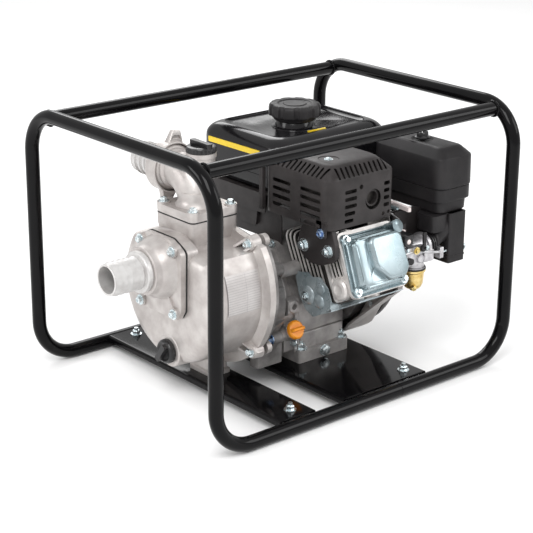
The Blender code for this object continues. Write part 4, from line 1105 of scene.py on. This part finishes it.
def build_blower():
    steps = [(95.5, 0), (150, 0), (153.5, 0.8), (156, 2.6), (157.6, 5.2), (158, 8)]
    shell = loft([[(x, y, z) for y, z in housing_outline(i)] for x, i in steps])
    duct = panel([(-66, 45), (-165, 131), (-168, 147), (-92, 147), (-60, 140)], [4, 8, 6, 4, 4], 95.9, 116, "x")
    add(shell, duct)
    inside = slab(housing_outline(3), 90, 155, "x")
    duct_room = slab([(-66, 49.5), (-160.5, 132), (-163, 143.5), (-92, 143.5), (-60, 135)], 89, 113, "x")
    cut(shell, inside)
    cut(shell, disc(CRANK, X, 62, 150, 165, 64))
    cut(shell, duct_room)
    cut(shell, slab(rect(94, 106, -60, 60), 120, 186, "bore"))
    ribs = [slab(rect(-100.4 + 22 * k, -97.4 + 22 * k, 200, 228, 1.2), 157.4, 158.4, "x") for k in range(1, 4)]
    piece("fan_housing", together(shell, *ribs), "housing", stands_for=["blower_housing"], bevel=0.8, steps=2,
          crease=30)
    spots = round_crank(HOUSING_X - 3, 94, (40, -20, -80)) + [(HOUSING_X - 1, -90, 200)]
    bolts("housing_bolts", spots, X, across_flats=8, head=4)
    bolts("duct_screws", [(113, -150, 139), (113, -100, 90)], X, make=screw, radius=3.4)


def build_recoil():
    profile = [(158.4, 88), (158.4, 93), (161, 93.4), (170, 92), (178, 88.6), (186, 84), (195, 76.6), (202, 70),
               (205, 65),
               (206, 60), (206, 30), (204.6, 27), (204.6, 0), (202.6, 0), (202.6, 56), (199, 67), (184, 80), (169,
                                                                                                              88)]
    cover = lathe(profile, CRANK, X, 128)
    add(cover, disc(CRANK, X, 7, 166, 204, 32))
    lift = Matrix.Translation(CRANK)
    louvres = []
    for a in (15 * k for k in range(24)):
        if not 20 < a < 55:
            slot = panel([(-2.2, 33), (2.2, 33), (3.4, 56), (-3.4, 56)], 1.8, 194, 210, "x")
            louvres.append(turned(moved(slot, lift), a, "X", CRANK))
    for a in (18 * k + 9 for k in range(20)):
        if not 15 < a < 65:
            slot = panel([(176, -3), (194, -3), (194, 3), (176, 3)], 2, 62, 100)
            louvres.append(turned(moved(slot, lift), a, "X", CRANK))
    cut(cover, together(*louvres))
    cut(cover, disc((ROPE_X, 0, ROPE_Z), Y, 5, 60, 110, 32))
    piece("starter_cover", cover, "heat_black", stands_for=["recoil_cover"], bevel=0.5, steps=2, crease=28)
    eyelet = lathe([(-2.6, 3.2), (-2.6, 7.6), (-0.6, 7.6), (0.6, 6.6), (1.0, 5.0), (0.6, 3.2)],
                   (ROPE_X, 74.4, ROPE_Z), Y, 48)
    piece("rope_eyelet", eyelet, "steel", bevel=0.3)
    bolts("starter_screws", round_crank(161.6 - 1.2, 89, (75, 165, 285)), X, across_flats=8, head=4)
    badge = spun([(204.4, 24), (205, 24.6), (205.4, 23.6), (205.4, 20), (205, 19.4)], CRANK, X, 64)
    piece("starter_centre", badge, "gloss_plastic", bevel=0.3)
    wraps = [(177.3, 43.4)]
    for k in range(2):
        wraps += [(p, 45.2 + r - 2.0) for p, r in arc(179.2 + 3.7 * k, 1.9, 1.85, 180, 0, 8)]
    wraps += [(184.7, 43.4)]
    piece("wound_rope", lathe(wraps, CRANK, X, 96), "rope", "reel", bevel=0)


def build_starter_grip():
    c = Vector((ROPE_X, 92, ROPE_Z))
    rings = []
    for s, wide, deep in ((-30, 3.4, 3.2), (-29, 4.8, 4.6), (-26, 5.8, 5.7), (-16, 6.0, 5.9), (-6, 5.2, 5.4),
                          (0, 5.6, 6.0),
                          (6, 5.2, 5.4), (16, 6.0, 5.9), (26, 5.8, 5.7), (29, 4.8, 4.6), (30, 3.4, 3.2)):
        ring_at = []
        for t in around(32):
            a, b = math.cos(t), math.sin(t)
            ring_at.append((c.x + wide * math.copysign(abs(a) ** 0.7, a),
                            c.y + deep * math.copysign(abs(b) ** 0.7, b), c.z + s))
        rings.append(ring_at)
    grip = loft(rings)
    neck = spun([(-11.5, 3.6), (-8, 4.6), (-3, 5.2)], c, Y, 40)
    add(grip, neck)
    cut(grip, disc(c, Y, 2.6, 3.6, 8, 24))
    piece("starter_handle_grip", grip, "black_plastic", "starter_handle", ["starter_grip"], bevel=0.6, crease=34)
    knot = lathe([(3.4, 0), (3.4, 2.3), (4.6, 2.5), (5.6, 1.6), (5.8, 0)], c, Y, 20)
    piece("rope_knot", knot, "rope", "starter_handle", bevel=0)
    path = [(c.x, 8 + 2.0 * k, c.z) for k in range(39)]
    rope = tube(path, 1.9, None, 16)
    rope.name = rope.data.name = "starter_rope"
    for v in rope.data.vertices:
        v.co = metres(v.co)
    rope.data.materials.append(MATERIALS["rope"])
    rope.data.polygons.foreach_set("use_smooth", [True] * len(rope.data.polygons))
    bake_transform(rope)


# ---------------------------------------------------------------- air cleaner
def box_ring(x0, x1, y0, y1, inset, z, radius):
    return [(a, b, z) for a, b in rect(x0 + inset, x1 - inset, y0 + inset, y1 - inset, max(radius - inset * 0.6, 3),
                                       8)]


def build_air_cleaner():
    lid = (187.5, 264.0, -166.5, -15.6)
    steps = [(272.4, 1.2), (273.6, 0.2), (276, 0), (318, 0.6), (320, 1.4), (331, 13), (333, 15.6), (334, 19)]
    cover = loft([box_ring(*lid, i, z, 19) for z, i in steps])
    cut(cover, loft([box_ring(*lid, i, z, 19) for z, i in ((265, 2.6), (317, 3), (329, 15), (331, 18))]))
    pan = spun([(331.2, 15.5), (334.6, 19), (336, 19)], KNOB, Z, 56)
    well = lathe([(330, 5), (330, 17), (331.2, 17), (333.4, 19.4), (333.4, 22), (329, 22), (329, 5)], KNOB, Z, 56)
    cut(cover, pan)
    add(cover, well)
    cut(cover, disc(KNOB, Z, 5, 325, 340, 32))
    piece("cleaner_cover", cover, "black_plastic", "air_cover_body", ["air_cleaner_cover"], bevel=1.1, steps=3,
          crease=24)
    tray = (189, 262.5, -165, -17)
    case = loft([box_ring(*tray, i, z, 17) for z, i in ((232, 7), (234, 5.4), (249.6, 4.6), (251, 0.6), (252, 0),
                                                        (270.6, 0), (272, 1.2))])
    cut(case, loft([box_ring(*tray, i, z, 17) for z, i in ((235, 9), (251, 7.6), (253, 3), (275, 3))]))
    cut(case, disc((212, -143, 0), Z, 13, 225, 240, 40))
    add(case, disc(KNOB, Z, 4, 234, 262, 24))
    piece("cleaner_case", case, "black_plastic", stands_for=["air_cleaner_case"], bevel=0.8, steps=2, crease=26)
    pleats = []
    outer = rect(198, 250, -156, -28, 8, 6)
    total = []
    for i, p in enumerate(outer):
        a, b = Vector(p), Vector(outer[(i + 1) % len(outer)])
        n = max(1, round((b - a).length / 2.6))
        total += [a.lerp(b, k / n) for k in range(n)]
    middle = Vector((224, -92))
    for i, p in enumerate(total):
        pleats.append(p if i % 2 == 0 else p + (middle - p).normalized() * 5)
    element = loft([[(p.x, p.y, z) for p in pleats] for z in (266, 315)])
    caps = [loft([[(a, b, z) for a, b in rect(197 + i, 251 - i, -157 + i, -27 - i, 8)] for z, i in pair])
            for pair in (((263, 0.6), (266.4, 0)), ((314.6, 0), (318, 0.6)))]
    cut(element, block(210, 238, -142, -42, 250, 312, 4))
    piece("filter_pleats", element, "filter_paper", bevel=0)
    cut(caps[0], block(210, 238, -142, -42, 250, 312, 4))
    piece("filter_end_caps", together(*caps), "rubber", stands_for=["air_filter_element"], bevel=0.4)
    c = Vector(KNOB)
    knob = spun([(334.4, 11), (335, 12), (336.8, 12), (338.4, 10), (339, 6)], c, Z, 48)
    wing_outline = [(-10.5, 336.6), (10.5, 336.6), (9.6, 344.6), (4.4, 345.8), (2.6, 341.6), (-2.6, 341.6),
                    (-4.4, 345.8), (-9.6, 344.6)]
    wing = slab([(c.x + a, z) for a, z in rounded(wing_outline, [1, 1, 2.4, 2.2, 2, 2, 2.2, 2.4], 4)], c.y - 2.8,
                c.y + 2.8, "y")
    add(knob, wing, disc(c, Z, 4.2, 322, 336, 24))
    piece("wing_knob", knob, "gloss_plastic", "air_knob_body", ["air_cleaner_knob"], bevel=0.7)
    duct = block(212, 248, -167, -122, 152, 231.8, 4)
    add(duct, block(211, 249, -167.4, -121.8, 160.5, 163, 4), block(180, 214, -163, -124, 206, 231.8, 9))
    cut(duct, block(214.6, 245.4, -164.4, -124.6, 140, 240, 3))
    elbow = loft([[(x, -145 + r * math.cos(t), z + h * math.sin(t)) for t in around(40)]
                  for x, z, r, h in ((176.4, 184, 19.6, 19.6), (180, 184, 19.6, 19.6), (180.6, 184, 17.5, 17.5),
                                     (190, 186, 17.5, 17.5),
                                     (191, 187, 19, 19), (194, 188, 19, 19), (195, 190, 17.5, 18), (204, 201, 19,
                                                                                                    22), (214, 206,
                                                                                                          20, 25))])
    bore = disc(CARB, X, 13, 165, 196, 40)
    add(duct, elbow)
    cut(duct, bore)
    piece("cleaner_duct", duct, "black_plastic", stands_for=["air_cleaner_bracket"], bevel=0.7, steps=2, crease=28)
    rib_bands = [ring(CARB, X, 17.6, 19.8, x, x + 2.2, 40) for x in (182.5, 186.3)]
    piece("duct_clamp", together(*rib_bands), "gloss_plastic", bevel=0.4)
    rod = disc((0, -161.6, 172), X, 2.2, 196, 250, 20)
    piece("duct_stud", rod, "bolt_zinc", bevel=0.3)
    bolts("duct_bolt", [(246.4, -161.6, 172)], X, across_flats=8, head=5)


# ---------------------------------------------------------------- carburettor and controls
def spring(centre, axis, radius, wire, s0, s1, turns):
    a, u, w = across(axis)
    c = Vector(centre)
    path = []
    for k in range(int(turns * 14) + 1):
        t = 2 * math.pi * k / 14
        path.append(c + a * (s0 + (s1 - s0) * k / (turns * 14)) + (u * math.cos(t) + w * math.sin(t)) * radius)
    return tube(path, wire, None, 8)


def build_carburettor():
    axis = Vector(CARB)
    barrel = [(112.4, 0), (112.4, 21), (116.6, 21), (117.4, 18), (126, 17), (140, 16), (154, 17), (160, 18),
              (170, 18.4),
              (170.8, 21.5), (175.8, 21.5), (175.8, 0)]
    body = lathe(barrel, axis, X, 64)
    add(body, block(122, 158, -166, -127, 166, 194, 4), spun([(151.5, 18.6), (155, 18.6), (156, 16.5), (172, 14)],
                                                             BOWL, Z, 56))
    for x, y, z, r, a, s0, s1 in ((140, 0, 189, 5.5, -Y, 150, 168.5), (150, 0, 174, 6.5, -Y, 150, 170),
                                  (166, 0, 187, 4.4, -Y, 150, 165.5),
                                  (128, -145, 0, 5, Z, 190, 203), (148, -145, 0, 6.4, Z, 190, 200)):
        add(body, spun([(s0, r + 0.8), (s1 - 1, r), (s1, r - 1)], (x, y, z), a, 28))
    add(body, block(158, 178, -168, -159, 166, 184, 3, "y"))
    cut(body, disc(axis, X, 12, 105, 190, 48))
    piece("carb_casting", body, "carb_metal", stands_for=["carburetor"], bevel=0.7, steps=2, crease=30)
    piece("bowl_gasket", ring(BOWL, Z, 15, 19.6, 151.4, 153.8, 56), "gasket", bevel=0.3)
    bowl = lathe([(120, 0), (120, 11), (122.4, 13.2), (128, 15.6), (146, 17.2), (147.6, 19.2), (151.1, 19.4),
                  (151.1, 14.5),
                  (127, 13), (124, 0)], BOWL, Z, 72)
    piece("float_bowl", bowl, "yellow_zinc", stands_for=["carb_bowl"], bevel=0.4)
    drain = hex_bolt((158, -145, 120.4), -Z, 8, 3.6)
    plug = spun([(0, 4.6), (1, 5), (4.4, 5), (5.2, 4)], (149, -156, 125), Vector((-0.5, -0.7, -0.5)), 6)
    piece("bowl_drain_screw", together(drain, plug), "brass", bevel=0.3)
    rod = together(disc((0, -166.2, 187), X, 2.0, 112, 142, 20),
                   tube([(140, -166.2, 187), (168, -167.4, 180.8), (193, -168, 175.6)], 2.3, None, 20))
    piece("stay_rod", rod, "steel", bevel=0)
    block_end = block(189, 197, -171, -159, 166, 184, 2.4, "x")
    piece("stay_rod_end", block_end, "carb_metal", bevel=0.6)
    needle = hex_bolt((140, -168.5, 189), -Y, 7, 3)
    piece("carb_pilot_screw", needle, "brass", bevel=0.3)
    coil = spring((120, -158, 200), X, 3.0, 0.55, 0, 22, 8)
    piece("governor_spring", coil, "steel", bevel=0)
    heads = [screw((124, -166, 191), -Y, 2.4), screw((154, -166, 170), -Y, 2.4), screw((166, -165.5, 187), -Y, 3.0)]
    piece("carb_screws", together(*heads), "bolt_zinc", bevel=0.2)
    insulator = panel([(-168, 164), (-122, 164), (-122, 204), (-168, 204)], [9, 5, 9, 5], 105.4, 112, "x", 5)
    cut(insulator, disc(axis, X, 12, 100, 115, 48))
    piece("carb_insulator", insulator, "black_plastic", stands_for=["intake_insulator"], bevel=0.5)
    cap = spun([(160, 9.5), (166.6, 9.5), (168.2, 8), (168.2, 5), (167.2, 4.4)], BUSH, -Y, 40)
    add(cap, block(116, 136, -166, -140, 204, 215, 4))
    piece("linkage_cap", cap, "gloss_plastic", bevel=0.6)
    dots = [spun([(166.8, 4.2), (168, 3.8), (168.6, 2.6)], BUSH, -Y, 24),
            spun([(132, 3.6), (139, 3.4), (139.6, 2.4)], (142, 0, 211), -Y, 24)]
    piece("nylon_bushes", together(*dots), "pink_white", bevel=0.3)
    lever = spun([(166.4, 5.2), (171, 5.2), (172, 4)], COCK, -Y, 32)
    add(lever, panel([(105, 171.6), (128, 169.6), (128, 178.4), (105, 176.4)], [2.2, 2, 2, 2.2], -172, -169, "y",
                     4))
    piece("fuel_cock_lever", lever, "black_plastic", "fuel_valve_body", ["fuel_valve_lever"], bevel=0.5)
    lever = spun([(166.4, 4.8), (171, 4.8), (172, 3.6)], CHOKE, -Y, 32)
    add(lever, panel([(151.8, 190), (156.2, 190), (157.6, 216), (150.4, 216)], [2, 2, 2.6, 2.6], -172, -169, "y",
                     4))
    piece("choke_bar", lever, "black_plastic", "choke_body", ["choke_lever"], bevel=0.5)
    hose = tube(bent([(166, -130, 178), (166, -108, 178), (166, -108, 231), (166, -40, 231), (166, -40, 262.4)], 16,
                     10), 3.6, 2.2, 20)
    piece("fuel_hose", hose, "rubber", bevel=0)
    sheet = panel([(137, 150), (172, 150), (184, 176), (212, 190), (212, 231), (178, 240), (137, 240)],
                  [4, 6, 6, 6, 3, 8, 4], -119.6, -118, "y")
    add(sheet, panel([(137, 196), (150, 196), (150, 222), (137, 222)], 3, -134, -118, "y"),
        block(137, 178, -122, -112, 236, 238.4, 2))
    piece("carb_heat_sheet", sheet, "heat_black", bevel=0.6)
    stay = panel([(93, 196), (150, 206), (187, 214), (187, 261.6), (93, 261.6)], 6, -12, -10.4, "y")
    add(stay, block(93, 187, -12, 14, 259.6, 261.6, 2))
    piece("tank_front_stay", stay, "heat_black", bevel=0.6)


def build_controls():
    plate = panel([(112, -112), (156, -112), (156, -46), (146, -30), (112, -30)], [4, 6, 6, 5, 4], 240.6, 242.6,
                  "z", 5)
    cut(plate, panel([(118, -104), (128, -104), (128, -84), (118, -84)], 3, 238, 245),
        disc((126, -46, 0), Z, 4.4, 238, 245, 24),
        panel([(148, -100), (152, -100), (152, -74), (148, -74)], 1.6, 238, 245))
    add(plate, block(112, 114, -110, -50, 236, 242.6, 1, "x"), disc(THROTTLE, Z, 4, 242, 250, 32))
    piece("throttle_plate", plate, "steel", stands_for=["control_plate"], bevel=0.4)
    bolts("throttle_plate_bolts", [(149, -48, 242.6), (126, -36, 242.6)], Z, across_flats=8, head=4)
    lever = ring(THROTTLE, Z, 4.3, 9, 243.4, 246.4, 48)
    add(lever, panel([(136.6, -126), (143.4, -126), (143.4, -74), (136.6, -74)], [3.4, 3.4, 0, 0], 243.4, 246.4,
                     "z", 5))
    cut(lever, disc((140, -122, 0), Z, 1.6, 240, 250, 16), disc(THROTTLE, Z, 4.3, 240, 250, 32))
    piece("throttle_arm", lever, "zinc", "throttle_body", ["throttle_lever"], bevel=0.4)
    side = Vector((147.5, -143.9, 0)) - Vector((152.7, -102.0, 0))
    square = Vector((-side.y, side.x, 0)).normalized() * 3.1
    ends = [(Vector((152.7, -102.0, 0)) + side * k, s) for k, s in ((-0.1, 1), (1, 1), (1, -1), (-0.1, -1))]
    bar = panel([tuple((p + square * s).to_2d()) for p, s in ends], 2.2, 242.8, 249.2, "z", 4)
    web = panel([(140, -80), (146, -80), (155, -106), (149, -108)], 2, 246.4, 248.4)
    add(bar, web)
    piece("throttle_tip", bar, "pink_white", "throttle_body", bevel=0.6)
    coil = spring((118.4, -46, 246.4), -Y, 3.2, 0.6, 0, 46, 13)
    piece("throttle_spring", coil, "steel", bevel=0)
    link = tube(bent([(131, -112, 240), (131, -140, 232), (128, -145, 206)], 6, 6), 1.2, None, 12)
    piece("governor_link", link, "steel", bevel=0)
    switch = spun([(158.4, 11.6), (160, 11.6), (161, 10), (165.4, 9.6), (166, 8.8)], SWITCH, X, 48)
    piece("switch_body_cap", switch, "black_plastic", bevel=0.4)
    rocker = panel([(-93, 209.6), (-75, 209.6), (-75, 214.4), (-93, 214.4)], 2.3, 165.4, 172, "x", 4)
    add(rocker, disc(SWITCH, X, 6.5, 165.2, 167.4, 32))
    piece("switch_rocker", rocker, "orange", "switch_body", ["engine_switch"], bevel=0.5)
    c = cyl(PLUG_X, PLUG_D, 42.4)
    hexagon = spun([(0, 9), (1, 9.4), (6.5, 9.4), (7.4, 8.4)], c, ACROSS, 6)
    piece("spark_plug_hex", hexagon, "steel", bevel=0.3)
    insulator = spun([(7, 5.4), (10, 5.4), (10.6, 4.8), (12, 5.2), (13.4, 4.8), (15, 5.2), (18, 4.4), (22, 2)], c,
                     ACROSS, 36)
    piece("spark_plug_insulator", insulator, "ceramic", stands_for=["spark_plug"], bevel=0.2)
    boot = lathe([(11, 5.6), (11, 8.2), (13, 8.6), (14, 7.8), (17, 7.8), (18, 8.4), (20, 7.6), (25, 7.2),
                  (26.4, 5.4), (26.4, 0), (22.6, 0), (18.6, 5.6)], c, ACROSS, 40)
    piece("plug_boot", boot, "rubber", bevel=0.4)
    start = c + ACROSS * 20
    lead = tube(bent([start + X * 5, start + X * 34, (96.4, -86, 233), (118, -70, 233)], 18, 10), 3.2, None, 20)
    piece("plug_lead", lead, "rubber", bevel=0)


# ---------------------------------------------------------------- pieces inside, shown by their CAD shapes
INSIDE = {
    "impeller": "iron", "volute": "iron", "mechanical_seal": "ceramic", "check_valve_flap": "rubber",
    "crankshaft_pump_half": "steel", "crankshaft_flywheel_half": "steel", "bearing_pump_side": "steel",
    "bearing_flywheel_side": "steel", "flywheel": "cast_engine", "cooling_fan": "black_plastic",
    "recoil_reel": "black_plastic", "piston": "carb_metal", "wrist_pin": "steel", "connecting_rod": "cast_fin",
}


def finish_inside():
    for name, look in INSIDE.items():
        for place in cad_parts[name].material_slots:
            place.material = MATERIALS[look]


build_crankcase()
build_side_cover()
build_drain_bolt()
build_head()
build_valve_cover()
build_lower_shroud()
build_muffler()
build_tank()
build_blower()
build_recoil()
build_starter_grip()
build_air_cleaner()
build_carburettor()
build_controls()
finish_inside()


# ---------------------------------------------------------------- floor, light and camera
CAMERA_AT = Vector((-1.5140, -1.7731, 0.9826))
CAMERA_AZIMUTH, CAMERA_PITCH, CAMERA_ROLL = math.radians(40.347), math.radians(-19.417), math.radians(0.43)
LENS, SENSOR = 108.57, 36.0


def plain(name, colour, roughness):
    m = bpy.data.materials.new(name)
    m.use_nodes = True
    shader = m.node_tree.nodes["Principled BSDF"]
    shader.inputs["Base Color"].default_value = (*colour, 1)
    shader.inputs["Roughness"].default_value = roughness
    shader.inputs["Specular IOR Level"].default_value = 0.2
    return m


def area_light(name, at, target, size, power, colour=(1, 1, 1), tall=None):
    data = bpy.data.lights.new(name, "AREA")
    data.energy, data.color, data.size = power, colour, size
    if tall:
        data.shape, data.size_y = "RECTANGLE", tall
    ob = bpy.data.objects.new(name, data)
    bpy.context.scene.collection.objects.link(ob)
    ob.location = at
    ob.rotation_euler = (Vector(target) - Vector(at)).to_track_quat("-Z", "Y").to_euler()
    return ob


def build_studio():
    mesh = bpy.data.meshes.new("floor")
    mesh.from_pydata([(-12, -12, 0), (12, -12, 0), (12, 12, 0), (-12, 12, 0)], [], [(0, 1, 2, 3)])
    floor = bpy.data.objects.new("floor", mesh)
    bpy.context.scene.collection.objects.link(floor)
    floor.location.z = -0.0004
    floor.data.materials.append(plain("pale_floor", (0.92, 0.92, 0.92), 0.9))
    world = bpy.data.worlds.new("studio")
    world.use_nodes = True
    world.node_tree.nodes["Background"].inputs["Color"].default_value = (1.0, 1.0, 1.0, 1)
    world.node_tree.nodes["Background"].inputs["Strength"].default_value = 0.85
    bpy.context.scene.world = world
    bpy.context.scene.view_settings.view_transform = "Standard"
    middle = (0, 0, 0.2)
    area_light("key", (-1.6, -1.2, 2.4), middle, 1.2, 42, tall=1.6)
    area_light("fill", (1.8, -2.0, 1.6), middle, 1.4, 22)
    area_light("back", (1.2, 2.2, 2.0), middle, 1.4, 26)
    area_light("side", (-2.6, 1.0, 1.3), middle, 1.0, 18)


def build_camera():
    data = bpy.data.cameras.new("camera")
    data.lens, data.sensor_width, data.clip_start = LENS, SENSOR, 0.05
    camera = bpy.data.objects.new("camera", data)
    bpy.context.scene.collection.objects.link(camera)
    a, p, r = CAMERA_AZIMUTH, CAMERA_PITCH, CAMERA_ROLL
    forward = Vector((math.sin(a) * math.cos(p), math.cos(a) * math.cos(p), math.sin(p)))
    level = Vector((math.cos(a), -math.sin(a), 0))
    upright = level.cross(forward)
    right = level * math.cos(r) + upright * math.sin(r)
    up = right.cross(forward)
    turn = Matrix((right, up, -forward)).transposed().to_4x4()
    camera.matrix_world = Matrix.Translation(CAMERA_AT) @ turn
    bpy.context.scene.camera = camera


build_studio()
build_camera()
